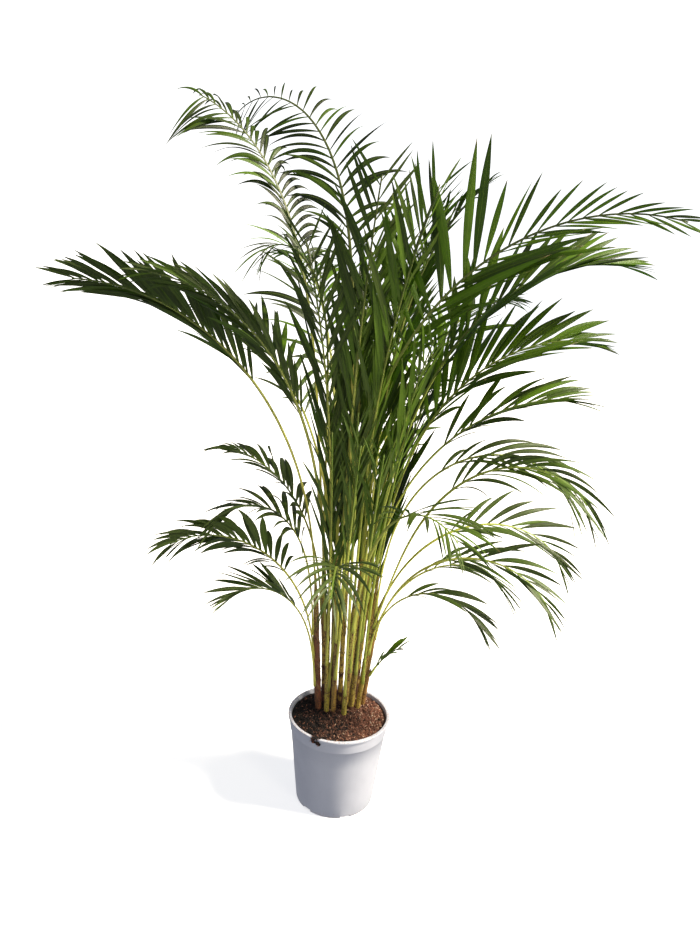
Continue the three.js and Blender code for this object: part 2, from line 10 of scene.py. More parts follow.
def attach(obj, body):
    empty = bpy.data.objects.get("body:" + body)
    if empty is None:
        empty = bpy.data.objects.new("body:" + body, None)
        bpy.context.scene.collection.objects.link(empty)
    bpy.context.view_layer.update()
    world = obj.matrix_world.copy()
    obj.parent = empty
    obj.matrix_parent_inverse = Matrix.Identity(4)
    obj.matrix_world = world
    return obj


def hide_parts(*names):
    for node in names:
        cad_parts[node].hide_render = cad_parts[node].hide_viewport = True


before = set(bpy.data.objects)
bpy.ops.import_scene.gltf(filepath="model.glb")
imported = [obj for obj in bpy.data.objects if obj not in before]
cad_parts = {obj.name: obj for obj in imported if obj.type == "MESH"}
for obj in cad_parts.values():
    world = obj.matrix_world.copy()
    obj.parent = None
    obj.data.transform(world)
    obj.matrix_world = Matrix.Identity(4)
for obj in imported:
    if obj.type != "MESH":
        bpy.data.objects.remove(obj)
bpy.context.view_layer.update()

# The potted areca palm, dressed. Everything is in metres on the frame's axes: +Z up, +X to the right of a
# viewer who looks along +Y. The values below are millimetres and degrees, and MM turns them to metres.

MM = 0.001

# Seeds, which keep the draws of chance apart
SEED_STEP = (17.3, 5.1, 9.7)
CANE_SEED = 100
FROND_SEED = 7
SCATTER_SEED = 11

# The photograph's camera: its place, how far it looks down, to the left and leans, and its focal length
# beside the height of the picture
CAMERA_PLACE = (0, -1297, 1022)
CAMERA_DOWN = 13.3
CAMERA_LEFT = 0.38
CAMERA_ROLL = 3.5
FOCAL_LENGTH = 700
FRAME_HEIGHT = 932
SENSOR = 36

# The pot, of the common 21 cm size
POT_HEIGHT = 190
RIM_RADIUS = 105
BASE_RADIUS = 81
WALL = 2.5
COLLAR_HEIGHT = 30
COLLAR_STEP = 2
LIP_HEIGHT = 5
LIP_STEP = 1.8
FLOOR = 3
DRAINS = 6
FIRST_DRAIN = -72
DRAIN_WIDTH = 20
DRAIN_HEIGHT = 4.5
DRAIN_FROM = 64
POT_SIDES = 144

# The radii of its moulded edges, the crease under its collar, and the groove under its lip: how deep and
# how far down the points of the groove lie
FINE_EDGE = 0.9
EDGE = 1.2
RIM_EDGE = 1.3
FILLET = 3
CREASE_BELOW = 0.4
CREASE_OUT = 0.3
GROOVE = ((0.3, 1.2), (0.7, 0.6), (0.2, 0))
LIP_ROUND = 1.1
INSIDE_HEIGHTS = (150, 100, 50)
POT_SHARP = 35

# The soil: its level at the pot's wall, its rise to the middle, how far it keeps from the pot, its tone
# from dark to light, how high and wide its clods and lumps are, and how much lower at the wall
SOIL_EDGE = 182
SOIL_RISE = 11
SOIL_STEPS = 36
SOIL_GAP = 0.4
SOIL_LIFT = 0.3
SOIL_TONE = 0.25
CLOD_HIGH = 4
CLOD_WIDE = 22
LUMP_HIGH = 3.2
LUMP_WIDE = 9
LOWER_AT_WALL = 0.5

# The bed that loose crumbs lie on, and the spill over the rim
BED_STEPS = 24
BED_MARGIN = 4
SPILL_TOWARD = -114
SPILL_WIDE = 9
SPILL_DOWN = 14
SPILL_PROUD = 0.3

# The crumbs and fibres: how many lie on a square metre, their least and greatest stretch, and their tilt
CRUMBS = dict(Density=90000, Smallest=(2, 2, 1.6), Largest=(9, 8, 7), Tilt=math.pi)
FIBRES = dict(Density=26000, Smallest=(4, 2, 0.5), Largest=(14, 4, 1), Tilt=0.6)
CRUMB_ROUGH = 0.35

# The canes, their ring scars and their swollen feet
SOIL_LINE = 172
ROOTED = 60
CANE_SIDES = 20
CANE_STEP = 4
CANE_SHARP = 50
CANE_WOBBLE = 0.25
WOBBLE_WIDE = 30
INTERNODE = 52
SCAR = 0.9
SCAR_BELOW = 3
SCAR_ABOVE = 1.2
SCAR_RINGS = (-4, -2.5, -1, 0, 0.8, 1.8)
TAPER = 0.02
FOOT_SWELL = 1.18
LOW_SWELL = 1.03
SWELL_AT = 6
SWELL_END = 28
CANE_TOP = 0.84

# The sheath that a leaf's foot wraps round its cane: how far it reaches below and above the foot, how
# thick it is and how soon, how far it bulges and rises towards its leaf, and from which share it rises.
# The crown's reaches up the petiole, whose width times these shares is the least it narrows to, and its
# share stops short of that of a dry free edge.
SLEEVE = 75
SLEEVE_OVER = 10
SLEEVE_THICK = 0.8
SLEEVE_OPENS = 0.2
SLEEVE_BULGE = 2.2
SLEEVE_LIFT = 16
SLEEVE_RISES = 0.6
SLEEVE_LEVEL = 0.5
SLEEVE_STEPS = 14
CROWN_SLEEVE = 60
CROWN_LEAST = (1.2, 0.9)
CROWN_FRESH = 0.8
SHEATH_TONES = (0.1, 0.9)

# The fronds. The rachis is measured by half its width: at the petiole, at the tip, and at the foot, which
# is sunk into the cane and narrows over a short way. Short fronds are young and thinner.
PETIOLE = 3.0
RACHIS_TIP = 1.3
YOUNG = 0.8
GROWN_LENGTH = 675
SIDE_FOOT = 4.4
SIDE_SUNK = 0.2
CROWN_FOOT = 0.8
CROWN_SUNK = 4
FOOT_NARROWS = 46
RACHIS_STEP = 13
SPINE_STEPS = 48
# A rounded keel below and a shallow groove along the face, as shares of half the width
RACHIS_SECTION = [(1, 0.35), (0.6, 0.45), (0, 0.26), (-0.6, 0.45), (-1, 0.35), (-0.66, -0.42), (0, -0.85),
                  (0.66, -0.42)]
# A frond whose tip hangs below the first height is older and greyer, in full that much further down
OLD_BELOW = 950
OLD_OVER = 300
OLDEST = 0.5
PLAIN_TONES = (0.2, 0.5)

# The leaflets, where their frond doesn't say otherwise. Their spread from the rachis is given for the first
# pair and the last, and their pitch, width and droop are shares of their length.
PITCH = 0.105
NARROWEST_PITCH = 12
FEWEST_PAIRS = 5
LAST_PLACE = 0.985
ROOT_INSIDE = 0.6
LEAFLET_WIDTH = 0.065
LEAFLET_THICK = 0.45
LEAFLET_STEPS = 14
SPREAD = (56, 20)
FOLD = 25
DROOP = 0.35
LONGEST_AT = 0.3
FIRST_SHORTER = 0.45
LAST_SHORTER = 0.62
FALL = 1.7

# One leaflet's outline: where it is widest, its width at the root and the least it narrows to, how late it
# narrows, how much thicker its root is and how far that reaches, and how much thinner its tip is
WIDEST_AT = 0.45
ROOT_WIDTH = 0.26
TIP_WIDTH = 0.012
TIP_LATE = 1.9
ROOT_THICK = 2.4
ROOT_REACH = 0.3
TIP_THINNER = 0.6

# What chance does to each leaflet: the least and most of a share, or the usual error
PLACE_CHANCE = 0.2
SPREAD_CHANCE = 4
FOLD_CHANCE = 5
LENGTH_CHANCE = (0.88, 1.0)
DROOP_CHANCE = (0.7, 1.3)
SWAY_CHANCE = 0.05
WIDTH_CHANCE = (0.9, 1.1)
LAY_CHANCE = 9
YOUNG_TWIST = 22
OLD_TWIST = 66
CUP_CHANCE = (-0.4, -0.1)
TONE_CHANCE = 0.24

# Habits that several fronds share: upright crowns, slender ones in the thick of the clump, straight ones
# behind it, and low ones that weep
UPRIGHT = dict(at=1, bend=1.8, spread=(12, 34), droop=0.1, width=0.06, pitch=28)
SLENDER = dict(bend=1.4, fold=10, spread=(8, 20), droop=0.1, width=0.045, pitch=31)
BEHIND = dict(fold=5, droop=0.05)
WEEPING = dict(spread=(30, 12), spread_below=(20, 8), width=0.06, tone=0.3)

# Each cane: its foot on the soil line, where and how far it leans, its height, its thickness and how brown
# it is. Its fronds follow, from the crown down. A frond leaves its cane at a share of the cane's height,
# towards an azimuth. Its rachis leans by the first angle at the petiole's foot and by the second at its
# tip, and the bend says how late it arches. Turn rolls the blade round the rachis. Leaflet is the longest
# one's length, and longest its place along the blade. Last is how much of that length the last one lacks,
# and fall how late they shorten. Spread_below is the spread on the right, seen from the foot, where it
# differs, and late how late the spread changes. Fold raises the leaflets from the flat towards the
# rachis's face. Droop is how far their tips sag and width how wide they are, both as shares of their
# length, and pitch is the distance between two pairs. Tone goes from dark green at 0 to bright at 1, and
# age from green at 0 to grey at 1.
# Tone is partly a frond's own colour and partly painted light and shade: bright in sun, dark in shade
CANES = [
    dict(foot=(-42, 6), toward=180, lean=4, tall=260, thick=11, brown=0.75, fronds=[
        dict(at=1, toward=181, lean=(4, 92), bend=1.5, petiole=460, blade=390, leaflet=190, turn=60,
             spread=(32, 20), spread_below=(10, 10), droop=0.15, width=0.08, pitch=14, tone=0.1),
        dict(at=0.72, toward=183, lean=(5, 150), bend=2.9, petiole=190, blade=196, leaflet=150, droop=0.5,
             width=0.1, pitch=13, tone=0.1),
        dict(at=0.5, toward=185, lean=(6, 122), bend=1.5, petiole=200, blade=255, leaflet=140, turn=50,
             droop=0.4, width=0.11, pitch=13, tone=0.1),
        dict(at=0.28, toward=203, lean=(6, 125), bend=2.3, petiole=190, blade=147, leaflet=130, droop=0.2,
             spread=(40, 20), width=0.09, pitch=12, tone=0.1),
    ]),
    dict(foot=(-34, 34), toward=150, lean=3, tall=300, thick=9, brown=0.35, fronds=[
        dict(at=1, toward=173, lean=(5, 70), bend=4, petiole=560, blade=419, leaflet=125, turn=-40,
             fold=5, spread=(10, 80), spread_below=(55, 30), late=2.5, droop=0.5, width=0.08, pitch=13,
             last=0.2, tone=0.12),
        dict(at=0.85, toward=218, lean=(1.5, 165), bend=8, petiole=560, blade=220, leaflet=125, turn=-30,
             width=0.05, tone=0.2),
        dict(at=0.75, toward=168, lean=(6, 87), bend=1.76, petiole=190, blade=234, leaflet=140, droop=0.4,
             spread=(50, 24), width=0.11, pitch=14, tone=0.1),
    ]),
    dict(foot=(-26, 0), toward=200, lean=2, tall=230, thick=8.5, brown=-0.1, fronds=[
        dict(UPRIGHT, toward=235, lean=(2, 24), petiole=220, blade=510, leaflet=220, turn=20,
             spread_below=(12, 30), width=0.055, pitch=27, tone=0.1),
        dict(at=0.88, toward=199, lean=(4, 86), bend=2.4, petiole=440, blade=380, leaflet=160, turn=60,
             spread=(17, 12), spread_below=(14, 10), droop=0.2, width=0.07, tone=0.2),
        dict(SLENDER, at=0.55, toward=260, lean=(4, 14), petiole=100, blade=400, leaflet=160, tone=0.2),
        dict(SLENDER, at=0.3, toward=322, lean=(2, 5), petiole=400, blade=160, leaflet=130,
             spread=(16, 20), tone=0.2),
    ]),
    dict(foot=(-12, -12), toward=250, lean=2, tall=260, thick=9, brown=0.45, fronds=[
        dict(UPRIGHT, toward=285, lean=(1, 22), petiole=350, blade=450, leaflet=220, spread=(12, 36),
             tone=0.3),
        dict(at=0.9, toward=-13, lean=(0, 107), bend=1.95, petiole=500, blade=577, leaflet=252, turn=75,
             droop=0.1, spread=(62, 8), spread_below=(30, 10), late=1.4, width=0.068, longest=0.4,
             last=0.75, fall=0.3, pitch=24, tone=0.65),
        dict(at=0.72, toward=268, lean=(12, 120), bend=1.6, petiole=200, blade=200, leaflet=130, droop=0.5,
             tone=0.25, age=0.9),
        dict(SLENDER, at=0.4, toward=290, lean=(5, 10), petiole=250, blade=250, leaflet=150, tone=0.3),
    ]),
    dict(foot=(0, 30), toward=120, lean=1, tall=320, thick=11, brown=0.2, fronds=[
        dict(at=1, toward=150, lean=(2, 141), bend=5.2, petiole=580, blade=500, leaflet=175, turn=-60,
             fold=0, spread=(26, 50), spread_below=(48, 70), last=0.72, fall=0.9, droop=0.4, width=0.06,
             tone=0.15),
        dict(BEHIND, at=0.78, toward=85, lean=(3, 22), bend=1.8, petiole=70, blade=640, leaflet=200,
             spread=(10, 18), tone=0.2),
    ]),
    dict(foot=(9, -10), toward=300, lean=3, tall=240, thick=9, brown=0.25, fronds=[
        dict(UPRIGHT, toward=312, lean=(1, 26), petiole=350, blade=460, leaflet=230, tone=0.55),
        dict(at=0.88, toward=300, lean=(8, 120), bend=1.8, petiole=300, blade=190, leaflet=150),
        dict(SLENDER, at=0.5, toward=338, lean=(2, 20), bend=1.6, petiole=340, blade=260, leaflet=170,
             tone=0.45),
        dict(SLENDER, at=0.28, toward=258, lean=(2, 7), petiole=420, blade=170, leaflet=130,
             spread=(16, 20), tone=0.3),
    ]),
    dict(foot=(22, 8), toward=0, lean=3, tall=300, thick=12, brown=0.3, fronds=[
        dict(at=1, toward=4, lean=(8, 96), bend=2.3, petiole=430, blade=420, leaflet=230, turn=25,
             spread=(40, 14), spread_below=(24, 10), droop=0.15, width=0.084, tone=0.6),
        dict(at=0.88, toward=-10, lean=(5, 86), bend=1.45, petiole=350, blade=250, leaflet=190, turn=20,
             spread=(38, 14), spread_below=(26, 10), droop=0.25, pitch=20, width=0.07, tone=0.4),
        dict(SLENDER, at=0.6, toward=-50, lean=(5, 24), bend=1.6, petiole=350, blade=280, leaflet=180,
             spread=(8, 22), width=0.05, tone=0.75),
        dict(SLENDER, at=0.35, toward=-75, lean=(6, 16), petiole=260, blade=230, leaflet=150, tone=0.45),
    ]),
    dict(foot=(14, 40), toward=30, lean=3, tall=280, thick=11, brown=0.1, fronds=[
        dict(UPRIGHT, toward=30, lean=(0, 24), petiole=200, blade=610, leaflet=230, turn=40,
             spread=(12, 30), width=0.055, tone=0.6),
        dict(at=0.92, toward=-12, lean=(2, 50), bend=3.5, petiole=560, blade=280, leaflet=150),
        dict(BEHIND, at=0.76, toward=70, lean=(5, 50), bend=1.8, petiole=70, blade=730, leaflet=210,
             spread=(12, 24), tone=0.3),
    ]),
    dict(foot=(36, 18), toward=10, lean=5, tall=260, thick=9, brown=-0.05, fronds=[
        dict(at=1, toward=-2, lean=(3, 92), bend=1.9, petiole=380, blade=340, leaflet=210, turn=35,
             spread=(40, 14), spread_below=(26, 10), droop=0.2, pitch=18, width=0.082, tone=0.6),
        dict(WEEPING, at=0.88, toward=-12, lean=(3, 158), bend=1.96, petiole=330, blade=290, leaflet=168,
             turn=20, spread=(34, 12), spread_below=(22, 8), droop=0.45, pitch=29, width=0.066),
        dict(WEEPING, at=0.78, toward=-20, lean=(15, 150), bend=2.5, petiole=330, blade=290, leaflet=170,
             turn=50, droop=0.45, pitch=30, tone=0.35),
        dict(WEEPING, at=0.55, toward=-21, lean=(6, 150), bend=1.47, petiole=160, blade=170, leaflet=130,
             spread=(24, 12), spread_below=(18, 8), droop=0.4, pitch=22, width=0.1, tone=0.2),
        dict(SLENDER, at=0.3, toward=300, lean=(2, 22), petiole=420, blade=165, leaflet=130,
             spread=(16, 20), width=0.05, tone=0.7),
    ]),
    dict(foot=(47, 38), toward=30, lean=5, tall=220, thick=8.5, brown=0.55, fronds=[
        dict(WEEPING, at=1, toward=2, lean=(18, 150), bend=1.44, petiole=230, blade=273, leaflet=158,
             turn=40, spread=(38, 20), droop=0.3, pitch=24, width=0.07),
        dict(WEEPING, at=0.88, toward=-20, lean=(18, 150), bend=1.41, petiole=200, blade=250, leaflet=142,
             turn=40, spread=(34, 18), droop=0.3, pitch=24, width=0.076, tone=0.25),
        dict(WEEPING, at=0.74, toward=14, lean=(8, 150), bend=1.2, petiole=170, blade=220, leaflet=150,
             droop=0.5, pitch=26),
        dict(at=0.38, toward=-20, lean=(26, 54), bend=1.2, petiole=20, blade=85, leaflet=80, width=0.17,
             spread=(40, 16), pitch=19, tone=0.7, age=0),
    ]),
    dict(foot=(-18, 56), toward=110, lean=4, tall=280, thick=10, brown=0.3, fronds=[
        dict(at=1, toward=110, lean=(4, 90), bend=1.7, petiole=430, blade=480, leaflet=230),
        dict(at=0.9, toward=150, lean=(5, 80), bend=1.7, petiole=370, blade=340, leaflet=210),
        dict(BEHIND, at=0.75, toward=95, lean=(10, 14), bend=1.4, petiole=50, blade=460, leaflet=200,
             spread=(12, 12), tone=0.2),
    ]),
    dict(foot=(32, 60), toward=60, lean=5, tall=260, thick=10, brown=0.3, fronds=[
        dict(at=1, toward=50, lean=(5, 95), bend=1.7, petiole=400, blade=460, leaflet=220),
        dict(at=0.88, toward=80, lean=(8, 110), bend=1.5, petiole=300, blade=440, leaflet=220),
        dict(BEHIND, at=0.74, toward=30, lean=(8, 24), bend=1.4, petiole=50, blade=560, leaflet=200,
             spread=(12, 14), tone=0.3),
    ]),
]

# Colours, as sRGB
LEAF_DARK = "#0c1601"
LEAF_BRIGHT = "#6b9410"
LEAF_GREY = "#56633a"
LEAF_RIB = "#93b03c"
LEAF_DRY = "#7d6a3c"
LEAF_UNDER = "#6b8038"
LEAF_GLOW = "#8cc02a"
STALK_YELLOW = "#d8d264"
STALK_GREEN = "#a8c046"
STALK_TIP = "#6e8c30"
STALK_HIGH = "#435420"
STALK_STREAK = "#8f8a3a"
CANE_GOLD = "#bd9434"
CANE_PALE = "#e2cc68"
CANE_GREEN = "#a6a444"
CANE_BROWN = "#4f2f20"
CANE_SCURF = "#46291a"
SHEATH_GOLD = "#d0aa4c"
SHEATH_GREEN = "#b0ac4a"
SHEATH_BROWN = "#7a4630"
SHEATH_RIB = "#6d4f2a"
SHEATH_DRY = "#8a6a40"
SOIL_DARK = "#140c07"
SOIL_RED = "#8c5b47"
COIR_PALE = "#d8bda2"
POT_PALE = "#d4d7e2"
POT_GREY = "#c4c7d2"
FLOOR_PALE = "#f4f4f4"
LIT_WHITE = "#ffffff"
SUN_WARM = "#fff4e0"
FRONT_COOL = "#f4f7ff"
STEM_WARM = "#fff6e4"
SKY_COOL = "#f2f5ff"

# A leaf: the share of its light that shines through, and its veins on each side, a millimetre apart
LEAF_THROUGH = 0.36
VEINS = 10
# The heights between which the stalks darken, in the shade of the crown
SHADE_FROM = 750
SHADE_TO = 1150

# The sun: how bright it is, where it stands and how wide it looks
KEY_POWER = 7.4
KEY_LEAN = 46
KEY_TOWARD = -8
KEY_WIDE = 12
# The front light and the stems' beam: how bright each is, and its place, what it looks at and its width,
# in metres
FRONT_POWER = 5
FRONT_PLACE = (-0.8, -3.0, 2.4)
FRONT_TARGET = (0, 0, 0.7)
FRONT_WIDE = 2.4
STEM_POWER = 165
STEM_PLACE = (1.6, -1.9, 1.2)
STEM_TARGET = (0.03, 0, 0.62)
STEM_WIDE = 0.8
STEM_CONE = 27
SKY = 0.36
FLOOR_GLOW = 0.6
BACKDROP_GLOW = 1.0

# The floor's corners and its reach, in metres
FLOOR_SIDES = 96
FLOOR_REACH = 14

# What each leaflet's root tells the tree that bends it: directions, then numbers
LEAFLET_VECTORS = ("root", "aim", "sag", "wide")
LEAFLET_NUMBERS = ("half", "lay", "twist", "cup")

SpinePoint = namedtuple("SpinePoint", "place along side face")


def leaning(lean, toward):
    """A direction that leans from the vertical towards an azimuth."""
    out = math.sin(math.radians(lean))
    turn = math.radians(toward)
    return Vector((out * math.cos(turn), out * math.sin(turn), math.cos(math.radians(lean))))


def blend(a, b, share):
    return a + (b - a) * share


def smooth(share):
    share = min(1, max(0, share))
    return share * share * (3 - 2 * share)


def speckle(place, size, seed=0):
    """A smooth random number from -1 to 1 that varies over about size millimetres."""
    return noise.noise(Vector(place) / (size * MM) + Vector(SEED_STEP) * seed)


def circle(radius, height, sides=POT_SIDES):
    """The corners of a level ring about the upright axis."""
    turns = [2 * math.pi * k / sides for k in range(sides)]
    return [(radius * math.cos(t), radius * math.sin(t), height) for t in turns]


def metres(places):
    return [Vector(place) * MM for place in places]


# Meshes


class Skin:
    """The corners and faces of a piece as it is made, and the numbers its materials read at each corner."""

    def __init__(self, *marks):
        self.corners = []
        self.faces = []
        self.slots = []
        self.marks = {name: [] for name in marks}

    def ring(self, places, **marks):
        first = len(self.corners)
        self.corners.extend(places)
        for name, values in self.marks.items():
            values.extend([marks.get(name, 0.0)] * len(places))
        return list(range(first, first + len(places)))

    def face(self, corners, slot=0):
        self.faces.append(tuple(corners))
        self.slots.append(slot)

    def wall(self, near, far, slot=0):
        """The faces between two rings that run anticlockwise seen from the far end."""
        for k, corner in enumerate(near):
            after = (k + 1) % len(near)
            self.face((corner, near[after], far[after], far[k]), slot)

    def tube(self, rings, slot=0):
        self.face(reversed(rings[0]), slot)
        for near, far in zip(rings, rings[1:]):
            self.wall(near, far, slot)
        self.face(rings[-1], slot)

    def piece(self, name, *materials, sharp=None):
        mesh = bpy.data.meshes.new(name)
        mesh.from_pydata([tuple(corner) for corner in self.corners], [], self.faces)
        mesh.polygons.foreach_set("material_index", self.slots)
        mesh.shade_smooth()
        if sharp:
            mesh.set_sharp_from_angle(angle=math.radians(sharp))
        for mark, values in self.marks.items():
            mesh.attributes.new(mark, "FLOAT", "POINT").data.foreach_set("value", values)
        for material in materials:
            mesh.materials.append(material)
        return bpy.data.objects.new(name, mesh)


def link(thing):
    bpy.context.scene.collection.objects.link(thing)


def show(piece, slot, *nodes):
    """Puts a finished piece in the scene, riding on the part, in the place of the nodes named."""
    if piece.name not in bpy.context.scene.collection.objects:
        link(piece)
    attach(piece, "root")
    if nodes:
        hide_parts(*nodes)


def settle(piece):
    """Leaves what a piece's modifiers make of it as its plain mesh."""
    depsgraph = bpy.context.evaluated_depsgraph_get()
    mesh = bpy.data.meshes.new_from_object(
        piece.evaluated_get(depsgraph), preserve_all_data_layers=True, depsgraph=depsgraph
    )
    piece.modifiers.clear()
    piece.data = mesh


# Nodes


def named(sockets, key):
    """The socket with a number, or the one in use that has a name."""
    if isinstance(key, int):
        return sockets[key]
    return next(socket for socket in sockets if socket.name == key and socket.enabled)


def feed(tree, node, inputs):
    """Links or sets a node's inputs, each found by its name or its number."""
    for key, value in inputs.items():
        socket = named(node.inputs, key)
        if isinstance(value, bpy.types.NodeSocket):
            tree.links.new(value, socket)
        else:
            socket.default_value = value


def add(tree, kind, inputs=None, out=None, **settings):
    """Adds a node with its settings, links and values, and gives the output asked for, or its first."""
    node = tree.nodes.new(kind)
    for name, value in settings.items():
        setattr(node, name, value)
    feed(tree, node, inputs or {})
    if out is None:
        return next((socket for socket in node.outputs if socket.enabled), None)
    return named(node.outputs, out)


def new_tree(name, **kinds):
    """A geometry tree that takes a mesh and the named inputs, with what its input node gives."""
    tree = bpy.data.node_groups.new(name, "GeometryNodeTree")
    tree.interface.new_socket("Mesh", in_out="INPUT", socket_type="NodeSocketGeometry")
    for socket, kind in kinds.items():
        tree.interface.new_socket(socket, in_out="INPUT", socket_type="NodeSocket" + kind)
    tree.interface.new_socket("Mesh", in_out="OUTPUT", socket_type="NodeSocketGeometry")
    return tree, tree.nodes.new("NodeGroupInput").outputs


def grow(piece, tree, **inputs):
    """Runs a geometry tree on a piece, and leaves its result as a plain mesh."""
    link(piece)
    modifier = piece.modifiers.new("grow", "NODES")
    modifier.node_group = tree
    for item in tree.interface.items_tree:
        if item.in_out == "INPUT" and item.name in inputs:
            modifier[item.identifier] = inputs[item.name]
    settle(piece)


def scatter_tree():
    """Scatters copies of a shape over the piece's faces, each turned and stretched by chance."""
    tree, given = new_tree(
        "scatter", Shape="Object", Density="Float", Smallest="Vector", Largest="Vector", Tilt="Float",
        Seed="Int", Finish="Material",
    )
    seed = given["Seed"]
    points = add(tree, "GeometryNodeDistributePointsOnFaces",
                 {"Mesh": given["Mesh"], "Density": given["Density"], "Seed": seed})
    tilt = add(tree, "ShaderNodeCombineXYZ", {"X": given["Tilt"], "Y": given["Tilt"], "Z": math.pi})
    back = add(tree, "ShaderNodeVectorMath", {0: tilt, "Scale": -1.0}, operation="SCALE")
    turn, size = [
        add(tree, "FunctionNodeRandomValue", {"Min": least, "Max": most, "Seed": seed},
            data_type="FLOAT_VECTOR")
        for least, most in ((back, tilt), (given["Smallest"], given["Largest"]))
    ]
    shape = add(tree, "GeometryNodeObjectInfo", {"Object": given["Shape"]}, out="Geometry")
    placed = add(tree, "GeometryNodeInstanceOnPoints",
                 {"Points": points, "Instance": shape, "Rotation": turn, "Scale": size})
    chance = add(tree, "FunctionNodeRandomValue", {"Seed": seed}, data_type="FLOAT")
    marked = add(tree, "GeometryNodeStoreNamedAttribute",
                 {"Geometry": placed, "Name": "tone", "Value": chance}, data_type="FLOAT", domain="INSTANCE")
    whole = add(tree, "GeometryNodeRealizeInstances", {"Geometry": marked})
    finished = add(tree, "GeometryNodeSetMaterial", {"Geometry": whole, "Material": given["Finish"]})
    add(tree, "NodeGroupOutput", {"Mesh": finished})
    return tree


def frond_tree():
    """Sets a leaflet on each corner of the piece, bends it as that corner says, and adds the rachis.

    A leaflet arrives as its flat shape: x is the share of its length, y of half its width and z of its
    thickness. Its corner says where it aims, what lies across it, how it sags and how it twists."""
    tree, given = new_tree("leaflets", Leaflet="Object", Rachis="Object", Finish="Material")
    shape, rachis = [add(tree, "GeometryNodeObjectInfo", {"Object": given[name]}, out="Geometry")
                     for name in ("Leaflet", "Rachis")]
    placed = add(tree, "GeometryNodeInstanceOnPoints", {"Points": given["Mesh"], "Instance": shape})
    whole = add(tree, "GeometryNodeRealizeInstances", {"Geometry": placed})
    root, aim, sag, wide, flat = [
        add(tree, "GeometryNodeInputNamedAttribute", {"Name": name}, data_type="FLOAT_VECTOR")
        for name in (*LEAFLET_VECTORS, "shape")
    ]
    half, lay, twist, cup, profile = [
        add(tree, "GeometryNodeInputNamedAttribute", {"Name": name}, data_type="FLOAT")
        for name in (*LEAFLET_NUMBERS, "profile")
    ]
    along, across, above = add(tree, "ShaderNodeSeparateXYZ", {0: flat}).node.outputs

    # The middle line, and the way it runs
    squared = add(tree, "ShaderNodeMath", {0: along, 1: along}, operation="MULTIPLY")
    twice = add(tree, "ShaderNodeMath", {0: along, 1: 2.0}, operation="MULTIPLY")
    straight = add(tree, "ShaderNodeVectorMath", {0: aim, 1: along, 2: root}, operation="MULTIPLY_ADD")
    middle = add(tree, "ShaderNodeVectorMath", {0: sag, 1: squared, 2: straight}, operation="MULTIPLY_ADD")
    heading = add(tree, "ShaderNodeVectorMath", {0: sag, 1: twice, 2: aim}, operation="MULTIPLY_ADD")

    # What lies across it, and above it
    angle = add(tree, "ShaderNodeMath", {0: twist, 1: along, 2: lay}, operation="MULTIPLY_ADD")
    turned = add(tree, "ShaderNodeVectorRotate", {"Vector": wide, "Axis": heading, "Angle": angle})
    upward = add(tree, "ShaderNodeVectorMath", {0: heading, 1: turned}, operation="CROSS_PRODUCT")
    upward = add(tree, "ShaderNodeVectorMath", {0: upward}, operation="NORMALIZE")
    reach = add(tree, "ShaderNodeMath", {0: half, 1: profile}, operation="MULTIPLY")
    aside = add(tree, "ShaderNodeMath", {0: across, 1: reach}, operation="MULTIPLY")
    fold = add(tree, "ShaderNodeMath", {0: aside}, operation="ABSOLUTE")
    fold = add(tree, "ShaderNodeMath", {0: fold, 1: cup}, operation="MULTIPLY")
    thick = add(tree, "ShaderNodeMath", {0: above, 1: LEAFLET_THICK / 2 * MM, 2: fold},
                operation="MULTIPLY_ADD")
    place = add(tree, "ShaderNodeVectorMath", {0: turned, 1: aside, 2: middle}, operation="MULTIPLY_ADD")
    place = add(tree, "ShaderNodeVectorMath", {0: upward, 1: thick, 2: place}, operation="MULTIPLY_ADD")

    bent = add(tree, "GeometryNodeSetPosition", {"Geometry": whole, "Position": place})
    finished = add(tree, "GeometryNodeSetMaterial", {"Geometry": bent, "Material": given["Finish"]})
    joined = tree.nodes.new("GeometryNodeJoinGeometry")
    tree.links.new(finished, joined.inputs[0])
    tree.links.new(rachis, joined.inputs[0])
    add(tree, "NodeGroupOutput", {"Mesh": joined.outputs[0]})
    return tree


# Materials


def paint(code):
    """A colour from its sRGB hex value, as Blender's linear values."""
    values = [int(code[k:k + 2], 16) / 255 for k in (1, 3, 5)]
    return (*[v / 12.92 if v <= 0.04045 else ((v + 0.055) / 1.055) ** 2.4 for v in values], 1.0)


def new_material(name, *marks):
    """A material, its tree and shader, each point's place in metres, and the marks asked for."""
    material = bpy.data.materials.new(name)
    material.use_nodes = True
    tree = material.node_tree
    tree.nodes.clear()
    shader = add(tree, "ShaderNodeBsdfPrincipled").node
    add(tree, "ShaderNodeOutputMaterial", {"Surface": shader.outputs[0]})
    place = add(tree, "ShaderNodeTexCoord", out="Object")
    found = [add(tree, "ShaderNodeAttribute", out="Fac", attribute_name=mark) for mark in marks]
    return material, tree, shader, place, *found


def dress(tree, shader, ground, layers, grain, **others):
    """Lays colours over a ground in turn, each as dense as its share says, and raises the grain: its
    height, its strength and its depth in millimetres. The shader's other inputs are given by name."""
    colour = paint(ground)
    for share, layer in layers:
        colour = add(tree, "ShaderNodeMix", {"Factor": share, "A": colour, "B": paint(layer)},
                     data_type="RGBA")
    height, strength, depth = grain
    raised = add(tree, "ShaderNodeBump", {"Height": height, "Strength": strength, "Distance": depth * MM})
    feed(tree, shader, {"Base Color": colour, "Normal": raised, **others})
    return colour, raised


